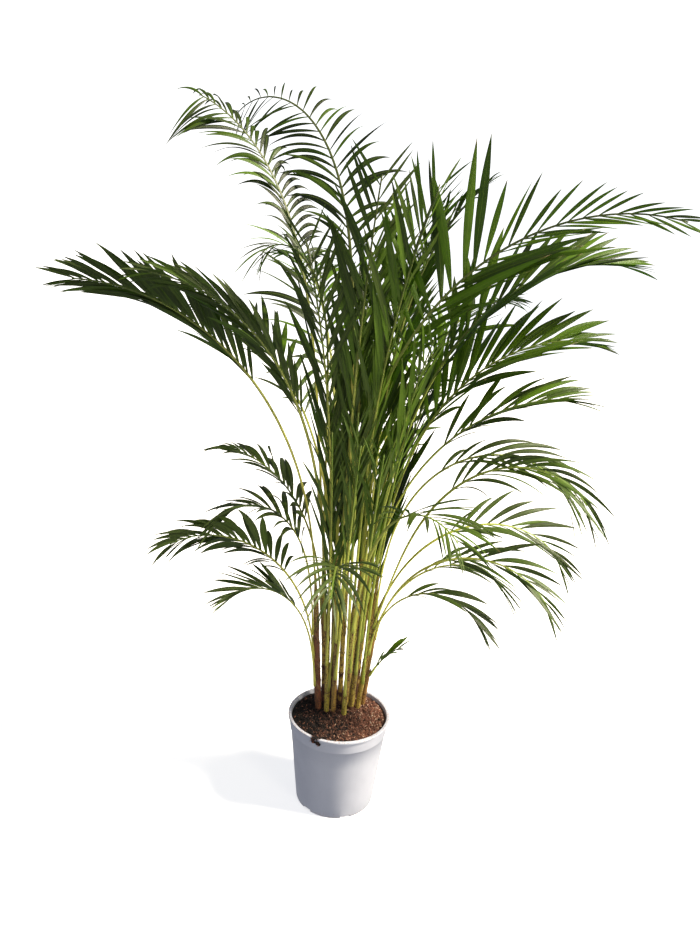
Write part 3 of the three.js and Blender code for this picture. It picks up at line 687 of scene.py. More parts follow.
def waxy_leaf():
    """Living palm leaf. Its wax is half glossy, its veins run from root to tip, and it is thin enough to
    glow yellow-green where the light is behind it. Its underside is paler and duller."""
    material, tree, shader, place, tone, age = new_material("waxy_palm_leaf", "tone", "age")
    flat = add(tree, "ShaderNodeAttribute", out="Vector", attribute_name="shape")
    along, across, above = add(tree, "ShaderNodeSeparateXYZ", {0: flat}).node.outputs
    blotch = add(tree, "ShaderNodeTexNoise", {"Vector": place, "Scale": 1 / (45 * MM), "Detail": 3.0})
    # The frond's tone, partly painted light and shade, lifts the dark green towards the bright
    bright = add(tree, "ShaderNodeMath", {0: blotch, 1: 0.5, 2: tone}, operation="MULTIPLY_ADD")
    bright = add(tree, "ShaderNodeMapRange", {"Value": bright, "From Min": 0.3, "From Max": 1.2})

    # The veins and the pale midrib
    veins = add(tree, "ShaderNodeMath", {0: across, 1: VEINS * 2 * math.pi}, operation="MULTIPLY")
    veins = add(tree, "ShaderNodeMath", {0: veins}, operation="COSINE")
    midrib = add(tree, "ShaderNodeMath", {0: across}, operation="ABSOLUTE")
    midrib = add(tree, "ShaderNodeMapRange",
                 {"Value": midrib, "From Min": 0.03, "From Max": 0.1, "To Min": 1.0, "To Max": 0.0})
    ribbed = add(tree, "ShaderNodeMath", {0: veins, 1: 0.5, 2: midrib}, operation="MULTIPLY_ADD")
    lined = add(tree, "ShaderNodeMath", {0: veins, 1: 0.05, 2: 0.05}, operation="MULTIPLY_ADD")
    lined = add(tree, "ShaderNodeMath", {0: midrib, 1: 0.45, 2: lined}, operation="MULTIPLY_ADD")

    # Paler at the root, dry at the very tip of some, and paler again beneath
    pale = add(tree, "ShaderNodeMapRange",
               {"Value": along, "From Min": 0.0, "From Max": 0.12, "To Min": 0.35, "To Max": 0.0})
    dry = add(tree, "ShaderNodeMath", {0: tone, 1: 0.12, 2: along}, operation="MULTIPLY_ADD")
    dry = add(tree, "ShaderNodeMapRange", {"Value": dry, "From Min": 1.0, "From Max": 1.07})
    under = add(tree, "ShaderNodeMath", {0: above, 1: -0.02}, operation="LESS_THAN")
    faded = add(tree, "ShaderNodeMath", {0: under, 1: 0.35}, operation="MULTIPLY")
    rough = add(tree, "ShaderNodeMapRange", {"Value": blotch, "To Min": 0.3, "To Max": 0.46})
    rough = add(tree, "ShaderNodeMath", {0: under, 1: 0.18, 2: rough}, operation="MULTIPLY_ADD")
    layers = ((bright, LEAF_BRIGHT), (age, LEAF_GREY), (lined, LEAF_RIB), (pale, LEAF_RIB), (dry, LEAF_DRY),
              (faded, LEAF_UNDER))
    green, raised = dress(tree, shader, LEAF_DARK, layers, (ribbed, 0.25, 0.25), Roughness=rough, IOR=1.45)

    # The light that shines through
    glow = add(tree, "ShaderNodeMix", {"Factor": 0.5, "A": green, "B": paint(LEAF_GLOW)}, data_type="RGBA")
    through = add(tree, "ShaderNodeBsdfTranslucent", {"Color": glow, "Normal": raised})
    surface = add(tree, "ShaderNodeMixShader", {0: LEAF_THROUGH, 1: shader.outputs[0], 2: through})
    feed(tree, tree.get_output_node("ALL"), {"Surface": surface})
    return material


def leaf_stalk():
    """The rind of a petiole and rachis: smooth, waxy and yellow-green, streaked lengthwise, with brown
    scurf at its foot and a darker green high up in the crown's shade."""
    material, tree, shader, place, share, tone = new_material("smooth_leaf_stalk", "share", "tone")
    upright = add(tree, "ShaderNodeSeparateXYZ", {0: place}, out="Z")
    drawn = add(tree, "ShaderNodeMapping", {"Vector": place, "Scale": (1.0, 1.0, 0.06)})
    streak, speck = [
        add(tree, "ShaderNodeTexNoise", {"Vector": at, "Scale": 1 / (size * MM), "Detail": 2.0})
        for at, size in ((drawn, 1.6), (place, 1.2))
    ]
    outer = add(tree, "ShaderNodeMapRange", {"Value": share, "From Min": 0.35, "From Max": 0.9})
    shaded = add(tree, "ShaderNodeMapRange",
                 {"Value": upright, "From Min": SHADE_FROM * MM, "From Max": SHADE_TO * MM, "To Max": 0.95})
    lines = add(tree, "ShaderNodeMapRange",
                {"Value": streak, "From Min": 0.45, "From Max": 0.7, "To Max": 0.5})
    least = add(tree, "ShaderNodeMapRange", {"Value": share, "From Max": 0.14, "To Min": 0.62, "To Max": 1.2})
    scurf = add(tree, "ShaderNodeMath", {0: speck, 1: least}, operation="GREATER_THAN")
    scurf = add(tree, "ShaderNodeMath", {0: scurf, 1: 0.6}, operation="MULTIPLY")
    rough = add(tree, "ShaderNodeMapRange", {"Value": speck, "To Min": 0.42, "To Max": 0.62})
    layers = ((tone, STALK_GREEN), (outer, STALK_TIP), (shaded, STALK_HIGH), (lines, STALK_STREAK),
              (scurf, CANE_SCURF))
    dress(tree, shader, STALK_YELLOW, layers, (streak, 0.2, 0.3), Roughness=rough)
    return material


def ringed_cane():
    """The hard rind of an areca cane: waxy gold that weathers to brown at its foot, greener above, with
    corky ring scars and brown freckles."""
    material, tree, shader, place, share, tone, scar = new_material(
        "ringed_golden_cane", "share", "tone", "scar"
    )
    drawn = add(tree, "ShaderNodeMapping", {"Vector": place, "Scale": (1.0, 1.0, 0.06)})
    streak, patch, speck = [
        add(tree, "ShaderNodeTexNoise", {"Vector": at, "Scale": 1 / (size * MM), "Detail": detail})
        for at, size, detail in ((drawn, 3.5, 3.0), (place, 14, 4.0), (place, 1.5, 3.0))
    ]
    green = add(tree, "ShaderNodeMapRange", {"Value": share, "From Min": 0.45, "From Max": 1.0})
    foot = add(tree, "ShaderNodeMapRange", {"Value": share, "From Max": 0.6, "To Min": 0.4, "To Max": -0.2})
    brown = add(tree, "ShaderNodeMath", {0: foot, 1: tone}, operation="ADD")
    brown = add(tree, "ShaderNodeMath", {0: patch, 1: 1.3, 2: brown}, operation="MULTIPLY_ADD")
    brown = add(tree, "ShaderNodeMath", {0: streak, 1: 0.9, 2: brown}, operation="MULTIPLY_ADD")
    brown = add(tree, "ShaderNodeMapRange", {"Value": brown, "From Min": 1.3, "From Max": 1.6})
    flecks, worn = [
        add(tree, "ShaderNodeMapRange", {"Value": grain, "From Min": least, "From Max": most, "To Max": 0.8})
        for grain, least, most in ((speck, 0.54, 0.64), (patch, 0.4, 0.6))
    ]
    corky = add(tree, "ShaderNodeMath", {0: scar, 1: worn}, operation="MULTIPLY")
    rough = add(tree, "ShaderNodeMapRange", {"Value": brown, "To Min": 0.34, "To Max": 0.7})
    height = add(tree, "ShaderNodeMath", {0: speck, 1: 0.4, 2: streak}, operation="MULTIPLY_ADD")
    layers = ((streak, CANE_PALE), (green, CANE_GREEN), (brown, CANE_BROWN), (flecks, CANE_SCURF),
              (corky, CANE_SCURF))
    dress(tree, shader, CANE_GOLD, layers, (height, 0.35, 0.5), Roughness=rough)
    return material


def leaf_sheath():
    """The sheath a leaf wraps round its cane: tough, ribbed lengthwise, green-gold and freckled brown, and
    dry and papery along its free edge."""
    material, tree, shader, place, share, tone, old = new_material(
        "ribbed_leaf_sheath", "share", "tone", "brown"
    )
    drawn = add(tree, "ShaderNodeMapping", {"Vector": place, "Scale": (1.0, 1.0, 0.05)})
    streak, patch, speck = [
        add(tree, "ShaderNodeTexNoise", {"Vector": at, "Scale": 1 / (size * MM), "Detail": detail})
        for at, size, detail in ((drawn, 2.6, 3.0), (place, 20, 3.0), (place, 3, 4.0))
    ]
    brown = add(tree, "ShaderNodeMapRange", {"Value": old, "From Min": 0.2, "From Max": 0.75})
    ribs = add(tree, "ShaderNodeMapRange",
               {"Value": streak, "From Min": 0.42, "From Max": 0.6, "To Max": 0.7})
    limit = add(tree, "ShaderNodeMapRange",
                {"Value": patch, "From Min": 0.35, "From Max": 0.6, "To Min": 0.62, "To Max": 0.46})
    flecks = add(tree, "ShaderNodeMath", {0: speck, 1: limit}, operation="SUBTRACT")
    flecks = add(tree, "ShaderNodeMapRange", {"Value": flecks, "From Max": 0.06, "To Max": 0.75})
    edge = add(tree, "ShaderNodeMapRange", {"Value": share, "From Min": 0.86, "From Max": 1.0})
    layers = ((tone, SHEATH_GREEN), (brown, SHEATH_BROWN), (ribs, SHEATH_RIB), (flecks, CANE_SCURF),
              (edge, SHEATH_DRY))
    dress(tree, shader, SHEATH_GOLD, layers, (streak, 0.4, 0.5), Roughness=0.5)
    return material


def potting_soil(name, dark, light):
    """Damp peat and coir potting soil: crumbly and matt, from near black to reddish brown, with painted
    shade that darkens it towards the left, away from the sun, and lightens it a little towards the sunny
    right."""
    material, tree, shader, place, tone = new_material(name, "tone")
    sunward = add(tree, "ShaderNodeSeparateXYZ", {0: place}, out="X")
    clod, grit = [
        add(tree, "ShaderNodeTexNoise", {"Vector": place, "Scale": 1 / (size * MM), "Detail": detail})
        for size, detail in ((18, 5.0), (1.8, 4.0))
    ]
    # Painted shade: darker towards the left, where the crown shades the soil, a little lighter to the right
    painted_shade_to_left = add(tree, "ShaderNodeMapRange",
                {"Value": sunward, "From Min": -70 * MM, "From Max": 50 * MM, "To Min": -0.9, "To Max": 0.15})
    warm = add(tree, "ShaderNodeMath", {0: clod, 1: 1.1, 2: tone}, operation="MULTIPLY_ADD")
    warm = add(tree, "ShaderNodeMath", {0: warm, 1: painted_shade_to_left}, operation="ADD")
    warm = add(tree, "ShaderNodeMapRange", {"Value": warm, "From Min": 0.45, "From Max": 1.55})
    grain = add(tree, "ShaderNodeMapRange",
                {"Value": grit, "From Min": 0.35, "From Max": 0.65, "To Min": 0.55, "To Max": 0.0})
    dress(tree, shader, dark, ((warm, light), (grain, dark)), (grit, 0.8, 1.2), Roughness=0.95)
    return material


def moulded_plastic():
    """Injection-moulded polypropylene: pale, slightly blue grey, satin, with a faint orange peel from the
    mould, flow lines up its wall, and soil dust where soil and floor touch it."""
    material, tree, shader, place = new_material("moulded_polypropylene")
    upright = add(tree, "ShaderNodeSeparateXYZ", {0: place}, out="Z")
    drawn = add(tree, "ShaderNodeMapping", {"Vector": place, "Scale": (1.0, 1.0, 0.1)})
    peel, cloud, speck, flow = [
        add(tree, "ShaderNodeTexNoise", {"Vector": at, "Scale": 1 / (size * MM), "Detail": detail})
        for at, size, detail in ((place, 1.6, 2.0), (place, 38, 4.0), (place, 3, 5.0), (drawn, 9, 2.0))
    ]
    lines = add(tree, "ShaderNodeMapRange",
                {"Value": flow, "From Min": 0.5, "From Max": 0.8, "To Max": 0.25})
    near_foot = add(tree, "ShaderNodeMapRange",
                    {"Value": upright, "From Max": 14 * MM, "To Min": 0.45, "To Max": 0.7})
    near_rim = add(tree, "ShaderNodeMapRange",
                   {"Value": upright, "From Min": (POT_HEIGHT - 6) * MM, "From Max": POT_HEIGHT * MM,
                    "To Max": 0.2})
    limit = add(tree, "ShaderNodeMath", {0: near_foot, 1: near_rim}, operation="SUBTRACT")
    dust = add(tree, "ShaderNodeMath", {0: speck, 1: limit}, operation="SUBTRACT")
    dust = add(tree, "ShaderNodeMapRange", {"Value": dust, "From Max": 0.12, "To Max": 0.5})
    rough = add(tree, "ShaderNodeMapRange",
                {"Value": cloud, "From Min": 0.3, "From Max": 0.7, "To Min": 0.38, "To Max": 0.52})
    layers = ((cloud, POT_GREY), (lines, POT_GREY), (dust, SOIL_RED))
    dress(tree, shader, POT_PALE, layers, (peel, 0.12, 0.15), Roughness=rough, IOR=1.49)
    return material


def white_acrylic(name, glow):
    """Matt white acrylic sheet, lit softly from behind, as under and behind a product in a studio."""
    material, tree, shader = new_material(name)[:3]
    feed(tree, shader, {"Base Color": paint(FLOOR_PALE), "Roughness": 0.9,
                        "Emission Color": paint(LIT_WHITE), "Emission Strength": glow})
    return material


# Pot


def wall_radius(height):
    return blend(BASE_RADIUS, RIM_RADIUS - LIP_STEP - COLLAR_STEP, height / POT_HEIGHT)


def inside_radius(height):
    return wall_radius(height) - WALL


def arc(centre, radius, first, last, steps=4):
    turns = [math.radians(blend(first, last, k / steps)) for k in range(steps + 1)]
    return [(centre[0] + radius * math.cos(t), centre[1] + radius * math.sin(t)) for t in turns]


def pot_outline():
    """The pot's section from the middle of its underside, up its outside and down its inside."""
    collar = POT_HEIGHT - COLLAR_HEIGHT
    lip = POT_HEIGHT - LIP_HEIGHT
    outside = wall_radius(lip) + COLLAR_STEP
    return [
        (0, 0),
        (BASE_RADIUS / 2, 0),
        *arc((wall_radius(0) - EDGE, EDGE), EDGE, -90, -8),
        *[(wall_radius(collar * share), collar * share) for share in (0.25, 0.5, 0.75)],
        (wall_radius(collar - CREASE_BELOW), collar - CREASE_BELOW),
        (wall_radius(collar) + CREASE_OUT, collar),
        *arc((wall_radius(collar) + COLLAR_STEP - FINE_EDGE, collar + COLLAR_STEP), FINE_EDGE, -70, 0),
        *[(outside - deep, lip - down) for deep, down in GROOVE],
        *arc((RIM_RADIUS - FINE_EDGE, lip + LIP_ROUND), FINE_EDGE, -75, 0),
        *arc((RIM_RADIUS - RIM_EDGE, POT_HEIGHT - RIM_EDGE), RIM_EDGE, 0, 90, 5),
        *arc((inside_radius(POT_HEIGHT) + EDGE, POT_HEIGHT - EDGE), EDGE, 90, 180),
        *[(inside_radius(height), height) for height in INSIDE_HEIGHTS],
        *arc((inside_radius(FLOOR) - FILLET, FLOOR + FILLET), FILLET, 0, -90),
        (BASE_RADIUS / 2, FLOOR),
        (0, FLOOR),
    ]


def make_pot(finish):
    skin = Skin()
    rings = [skin.ring(metres(circle(radius, height, POT_SIDES if radius else 1)))
             for radius, height in pot_outline()]
    for pole, ring in ((rings[0][0], rings[1][::-1]), (rings[-1][0], rings[-2])):
        for corner, after in zip(ring, ring[1:] + ring[:1]):
            skin.face((pole, corner, after))
    for near, far in zip(rings[1:-2], rings[2:-1]):
        skin.wall(near, far)
    pot = skin.piece("pot_shell", finish)

    cutter = bmesh.new()
    middle = Matrix.Translation(((RIM_RADIUS + DRAIN_FROM) / 2 * MM, 0, 0))
    size = Matrix.Diagonal(((RIM_RADIUS - DRAIN_FROM) * MM, DRAIN_WIDTH * MM, 2 * DRAIN_HEIGHT * MM, 1))
    for k in range(DRAINS):
        turn = Matrix.Rotation(math.radians(FIRST_DRAIN + k * 360 / DRAINS), 4, "Z")
        bmesh.ops.create_cube(cutter, size=1, matrix=turn @ middle @ size)
    drains = bpy.data.objects.new("drains", bpy.data.meshes.new("drains"))
    cutter.to_mesh(drains.data)
    cutter.free()
    link(pot)
    link(drains)
    cut = pot.modifiers.new("drains", "BOOLEAN")
    cut.operation = "DIFFERENCE"
    cut.solver = "EXACT"
    cut.object = drains
    settle(pot)
    bpy.data.objects.remove(drains)
    pot.data.shade_smooth()
    pot.data.set_sharp_from_angle(angle=math.radians(POT_SHARP))
    return pot


# Soil


def soil_level(x, y):
    """The height of the soil's surface over a place, in millimetres, clods and all."""
    share = min(1, math.hypot(x, y) / inside_radius(SOIL_EDGE))
    rise = SOIL_RISE * (1 - share * share)
    place = Vector((x, y, 0)) * MM
    clods = speckle(place, CLOD_WIDE, 1) * CLOD_HIGH + abs(speckle(place, LUMP_WIDE, 2)) * LUMP_HIGH
    return SOIL_EDGE + rise + clods * (1 - LOWER_AT_WALL * share)


def on_soil(places):
    """Corners in metres that lie on the soil's surface over their places in millimetres."""
    return metres([(x, y, soil_level(x, y)) for x, y in places])


def make_soil(finish):
    skin = Skin("tone")
    bottom = FLOOR + SOIL_LIFT
    rounded = bottom + FILLET
    under = skin.ring(metres(circle(inside_radius(bottom) - FILLET, bottom)))
    rings = [under, skin.ring(metres(circle(inside_radius(rounded) - SOIL_GAP, rounded)))]
    for k in range(SOIL_STEPS):
        radius = (inside_radius(SOIL_EDGE) - SOIL_GAP) * (1 - k / SOIL_STEPS)
        rings.append(skin.ring(on_soil((x, y) for x, y, z in circle(radius, 0)), tone=SOIL_TONE))
    skin.tube(rings)
    return skin.piece("soil_body", finish)


def crumb_bed():
    """The surface that loose crumbs lie on: the top of the soil, and a small spill over the rim."""
    bed = Skin()
    reach = inside_radius(SOIL_EDGE) - BED_MARGIN
    for i in range(-BED_STEPS, BED_STEPS):
        for j in range(-BED_STEPS, BED_STEPS):
            corners = [(x * reach / BED_STEPS, y * reach / BED_STEPS) for x, y in
                       ((i, j), (i + 1, j), (i + 1, j + 1), (i, j + 1))]
            if all(math.hypot(x, y) < reach for x, y in corners):
                bed.face(bed.ring(on_soil(corners)))
    first, last = [math.radians(SPILL_TOWARD + side * SPILL_WIDE / 2) for side in (-1, 1)]
    path = [
        (inside_radius(POT_HEIGHT), POT_HEIGHT),
        (RIM_RADIUS, POT_HEIGHT),
        (RIM_RADIUS + SPILL_PROUD, POT_HEIGHT - LIP_HEIGHT),
        (wall_radius(POT_HEIGHT - SPILL_DOWN) + COLLAR_STEP + SPILL_PROUD, POT_HEIGHT - SPILL_DOWN),
    ]
    for (r1, z1), (r2, z2) in zip(path, path[1:]):
        corners = [(r1, first, z1), (r2, first, z2), (r2, last, z2), (r1, last, z1)]
        bed.face(bed.ring(metres([(r * math.cos(t), r * math.sin(t), z) for r, t, z in corners])))
    return bed.piece("bed")


def crumb():
    """A lump of soil, a millimetre across."""
    lump = bmesh.new()
    bmesh.ops.create_icosphere(lump, subdivisions=1, radius=0.5 * MM)
    for corner in lump.verts:
        corner.co *= 1 + CRUMB_ROUGH * speckle(corner.co, 0.5, 3)
    mesh = bpy.data.meshes.new("crumb")
    lump.to_mesh(mesh)
    lump.free()
    return bpy.data.objects.new("crumb", mesh)


def fibre():
    """A curled shred of coir, a millimetre long and as thick as that in all: its scale makes it slender."""
    skin = Skin()
    steps = 5
    rings = []
    for k in range(steps + 1):
        x = k / steps - 0.5
        # An S from side to side, and an arch
        curl = Vector((x, 0.5 * math.sin(3.2 * x), 0.8 * math.cos(2.6 * x) - 0.6))
        corners = [curl + Vector((0, y, z)) for y, z, level in circle(0.5, 0, sides=3)]
        rings.append(skin.ring(metres(corners)))
    skin.tube(rings)
    return skin.piece("fibre")


# Canes


def cane_axis(cane):
    return leaning(cane["lean"], cane["toward"])


def cane_at(cane, share):
    """A point on a cane's axis, in metres, at a share of its height above the soil line."""
    return (Vector((*cane["foot"], SOIL_LINE)) + cane_axis(cane) * cane["tall"] * share) * MM


def cane_scars(cane):
    """The heights of the ring scars over the soil line."""
    scars = cane["tall"] // INTERNODE
    return [k * cane["tall"] / (scars + 1) for k in range(1, scars + 1)]


def cane_radius(cane, height):
    """A cane tapers a little, stands on a swollen foot, and steps in above each scar."""
    scars = cane_scars(cane)
    share = 1 - TAPER * sum(scar < height for scar in scars)
    if height > scars[-1]:
        share = blend(share, CANE_TOP, (height - scars[-1]) / (cane["tall"] - scars[-1]))
    if height < SWELL_END:
        share = blend(FOOT_SWELL, LOW_SWELL, smooth((height - SWELL_AT) / (SWELL_END - SWELL_AT)))
    swell = max(math.exp(-((height - scar) / (SCAR_BELOW if height < scar else SCAR_ABOVE)) ** 2)
                for scar in scars)
    return cane["thick"] / 2 * share + SCAR * swell


def cane_ring(centre, side, other, radius):
    """A ring of corners about a centre in metres, at a radius in millimetres."""
    return [centre + (side * x + other * y) * radius * MM for x, y, z in circle(1, 0, CANE_SIDES)]


def add_crown_sheath(skin, cane, frond, tone):
    """The sheath that closes round a cane's tip and narrows into the petiole of its youngest leaf."""
    top = cane["tall"]
    foot = spine_at(frond["spine"], 0)
    rings = []
    for k in range(SLEEVE_STEPS + 1):
        share = k / SLEEVE_STEPS
        height = blend(top - SLEEVE, top + CROWN_SLEEVE, share)
        wrap = cane_radius(cane, min(height, top)) + SLEEVE_THICK * smooth(share / SLEEVE_OPENS)
        if height < top:
            centre, along = cane_at(cane, height / top), cane_axis(cane)
        else:
            above = height - top + CROWN_SUNK
            at = spine_at(frond["spine"], above / length_of(frond))
            petiole = rachis_half(frond, above) * blend(*CROWN_LEAST, share)
            wrap = max(petiole, blend(wrap, 0, smooth((height - top) / CROWN_SLEEVE)))
            centre, along = at.place, at.along
        side = (foot.side - along * foot.side.dot(along)).normalized()
        places = cane_ring(centre, side, along.cross(side), wrap)
        brown = cane["brown"] * (1 - share)
        rings.append(skin.ring(places, share=share * CROWN_FRESH, tone=tone, brown=brown))
    skin.tube(rings, slot=1)


def add_side_sheath(skin, cane, frond, tone):
    """The sheath of a lower leaf: a sleeve round the cane that stands away from it and runs up higher on
    the side of its leaf."""
    top = cane["tall"] * frond["at"]
    axis = cane_axis(cane)
    leafward = leaning(90, frond["toward"])
    leafward = (leafward - axis * leafward.dot(axis)).normalized()
    rings = []
    for k in range(SLEEVE_STEPS + 1):
        share = k / SLEEVE_STEPS
        height = blend(top - SLEEVE, top + SLEEVE_OVER, share)
        wrap = cane_radius(cane, height) + SLEEVE_THICK * smooth(share / SLEEVE_OPENS)
        centre = cane_at(cane, height / cane["tall"])
        places = []
        for corner in cane_ring(centre, leafward, axis.cross(leafward), wrap):
            facing = (corner - centre).normalized().dot(leafward)
            bulge = leafward * SLEEVE_BULGE * smooth(share) * max(0, facing)
            rising = smooth((share - SLEEVE_RISES) / (1 - SLEEVE_RISES))
            lift = axis * SLEEVE_LIFT * rising * (facing - SLEEVE_LEVEL)
            places.append(corner + (bulge + lift) * MM)
        rings.append(skin.ring(places, share=share, tone=tone, brown=cane["brown"]))
    skin.tube(rings, slot=1)


def make_cane(cane, number, rind, sheath):
    chance = random.Random(CANE_SEED + number)
    skin = Skin("share", "tone", "scar", "brown")
    scars = cane_scars(cane)
    axis = cane_axis(cane)
    side = Vector((0, 1, 0)).cross(axis).normalized()
    heights = {-ROOTED + CANE_STEP * k for k in range(int((cane["tall"] + ROOTED) / CANE_STEP) + 1)}
    heights |= {scar + step for scar in scars for step in SCAR_RINGS}
    rings = []
    for height in [h for h in sorted(heights) if h < cane["tall"]] + [cane["tall"]]:
        share = height / cane["tall"]
        wobble = CANE_WOBBLE * speckle((0, 0, height * MM), WOBBLE_WIDE, number)
        places = cane_ring(cane_at(cane, share), side, axis.cross(side), cane_radius(cane, height) + wobble)
        close = max(1 - abs(height - scar) / SCAR_BELOW for scar in scars)
        rings.append(skin.ring(places, share=max(0, share), tone=cane["brown"], scar=max(0, close)))
    skin.tube(rings)
    for frond in cane["fronds"]:
        add_sheath = add_crown_sheath if frond["at"] == 1 else add_side_sheath
        add_sheath(skin, cane, frond, chance.uniform(*SHEATH_TONES))
    return skin.piece(f"cane_rind_{number}", rind, sheath, sharp=CANE_SHARP)


# Fronds


def length_of(frond):
    return frond["petiole"] + frond["blade"]


def spine_of(cane, frond):
    """The line of a frond from its foot to its tip, with its frame at each step."""
    step = length_of(frond) / SPINE_STEPS * MM
    toward = frond["toward"]
    outward = leaning(90, toward)
    place = cane_at(cane, frond["at"])
    if frond["at"] == 1:
        place -= cane_axis(cane) * CROWN_SUNK * MM
    else:
        place += outward * (cane["thick"] / 2 + SIDE_FOOT * SIDE_SUNK) * MM
    level = Vector((0, 0, 1)).cross(outward)
    points = []
    for k in range(SPINE_STEPS + 1):
        share = k / SPINE_STEPS
        along = leaning(blend(*frond["lean"], share ** frond["bend"]), toward)
        roll = math.radians(frond.get("turn", 0) * smooth(2 * share))
        side = level * math.cos(roll) + along.cross(level) * math.sin(roll)
        points.append(SpinePoint(place.copy(), along, side, along.cross(side)))
        place += along * step
    return points


def spine_at(spine, share):
    step = min(max(share, 0) * SPINE_STEPS, SPINE_STEPS - 1e-6)
    k = int(step)
    place, *directions = [a.lerp(b, step - k) for a, b in zip(spine[k], spine[k + 1])]
    return SpinePoint(place, *[direction.normalized() for direction in directions])


def rachis_half(frond, distance):
    """Half the rachis's width, in millimetres, at a distance from its foot."""
    small = min(1, blend(YOUNG, 1, length_of(frond) / GROWN_LENGTH))
    plain = small * blend(PETIOLE, RACHIS_TIP, max(0, (distance - frond["petiole"]) / frond["blade"]))
    return blend(plain, frond["foot_half"], 1 - smooth(distance / FOOT_NARROWS))


def make_rachis(frond, finish):
    length = length_of(frond)
    steps = math.ceil(length / RACHIS_STEP)
    skin = Skin("share", "tone")
    rings = []
    for k in range(steps + 1):
        share = k / steps
        at = spine_at(frond["spine"], share)
        half = rachis_half(frond, share * length) * MM
        places = [at.place + (at.side * x + at.face * y) * half for x, y in RACHIS_SECTION]
        rings.append(skin.ring(places, share=share, tone=frond["tone"]))
    skin.tube(rings)
    return skin.piece("rachis", finish)


def leaflet_share(frond, t):
    """A leaflet's length beside the longest: on most fronds they grow longest at a third of the blade."""
    longest = frond.get("longest", LONGEST_AT)
    if t < longest:
        return 1 - FIRST_SHORTER * (1 - t / longest) ** 2
    return 1 - frond.get("last", LAST_SHORTER) * ((t - longest) / (1 - longest)) ** frond.get("fall", FALL)


def flat_leaflet():
    """One leaflet as shares of its length, half width and thickness: narrow at its root, widest near its
    middle and drawn out to a fine tip, with both faces meeting in sharp edges."""
    corners = []
    profile = []
    skin = Skin()
    for k in range(LEAFLET_STEPS + 1):
        v = k / LEAFLET_STEPS
        if v < WIDEST_AT:
            width = blend(ROOT_WIDTH, 1, math.sin(math.pi / 2 * v / WIDEST_AT))
        else:
            width = 1 - ((v - WIDEST_AT) / (1 - WIDEST_AT)) ** TIP_LATE
        thick = blend(ROOT_THICK, 1, smooth(v / ROOT_REACH)) * (1 - TIP_THINNER * v)
        corners += [v, -1, 0, v, 0, -thick, v, 1, 0, v, 0, thick]
        profile += [max(width, TIP_WIDTH)] * 4
    rings = [skin.ring([(0, 0, 0)] * 4) for k in range(LEAFLET_STEPS + 1)]
    skin.tube(rings)
    leaflet = skin.piece("leaflet")
    mesh = leaflet.data
    edges = {(near[j], far[j]) for near, far in zip(rings, rings[1:]) for j in (0, 2)}
    sharp = mesh.attributes.new("sharp_edge", "BOOLEAN", "EDGE")
    for edge in mesh.edges:
        sharp.data[edge.index].value = tuple(sorted(edge.vertices)) in edges
    mesh.attributes.new("shape", "FLOAT_VECTOR", "POINT").data.foreach_set("vector", corners)
    mesh.attributes.new("profile", "FLOAT", "POINT").data.foreach_set("value", profile)
    return leaflet


def leaflet_roots(frond, number):
    """A corner for each leaflet, at its root, that carries what its bending and its colour need."""
    chance = random.Random(number)
    pitch = frond.get("pitch") or max(NARROWEST_PITCH, PITCH * frond["leaflet"])
    pairs = max(FEWEST_PAIRS, round(frond["blade"] / pitch))
    numbers = (*LEAFLET_NUMBERS, "tone", "age")
    rows = {name: [] for name in LEAFLET_VECTORS + numbers}
    for k in range(pairs):
        for sign in (1, -1):
            t = min(LAST_PLACE, (k + 0.5 + chance.uniform(-PLACE_CHANCE, PLACE_CHANCE)) / pairs)
            distance = frond["petiole"] + t * frond["blade"]
            at = spine_at(frond["spine"], distance / length_of(frond))
            spreads = frond.get("spread", SPREAD)
            if sign < 0:
                spreads = frond.get("spread_below", spreads)
            spread = math.radians(blend(*spreads, t ** frond.get("late", 1)) + chance.gauss(0, SPREAD_CHANCE))
            fold = math.radians(frond.get("fold", FOLD) + chance.gauss(0, FOLD_CHANCE))
            out = at.side * sign * math.cos(fold) + at.face * math.sin(fold)
            aim = at.along * math.cos(spread) + out * math.sin(spread)
            length = frond["leaflet"] * leaflet_share(frond, t) * chance.uniform(*LENGTH_CHANCE) * MM
            droop = frond.get("droop", DROOP) * chance.uniform(*DROOP_CHANCE)
            sway = chance.gauss(0, SWAY_CHANCE)
            wide = (at.along - aim * at.along.dot(aim)).normalized()
            inside = rachis_half(frond, distance) * MM * ROOT_INSIDE
            width = frond.get("width", LEAFLET_WIDTH) * chance.uniform(*WIDTH_CHANCE)
            twist = blend(YOUNG_TWIST, OLD_TWIST, frond["age"])
            leaflet = dict(
                root=at.place + at.side * sign * inside,
                aim=aim * length,
                sag=(at.along * sway - Vector((0, 0, droop))) * length,
                wide=wide * -sign,
                half=width * length / 2,
                lay=chance.gauss(0, math.radians(LAY_CHANCE)),
                twist=chance.gauss(0, math.radians(twist)),
                cup=chance.uniform(*CUP_CHANCE),
                tone=min(1, max(0, frond["tone"] + chance.gauss(0, TONE_CHANCE))),
                age=frond["age"],
            )
            for name, value in leaflet.items():
                rows[name].append(value)
    mesh = bpy.data.meshes.new("roots")
    mesh.from_pydata([tuple(place) for place in rows["root"]], [], [])
    for name in LEAFLET_VECTORS:
        values = [value for row in rows[name] for value in row]
        mesh.attributes.new(name, "FLOAT_VECTOR", "POINT").data.foreach_set("vector", values)
    for name in numbers:
        mesh.attributes.new(name, "FLOAT", "POINT").data.foreach_set("value", rows[name])
    return bpy.data.objects.new(f"leaf_{frond['name']}", mesh)


def make_frond(frond, number, tree, leaflet, leaf, stalk):
    rachis = make_rachis(frond, stalk)
    piece = leaflet_roots(frond, number)
    grow(piece, tree, Leaflet=leaflet, Rachis=rachis, Finish=leaf)
    bpy.data.objects.remove(rachis)
    for name in (*LEAFLET_VECTORS, *LEAFLET_NUMBERS, "profile"):
        piece.data.attributes.remove(piece.data.attributes[name])
    return piece


# Setting


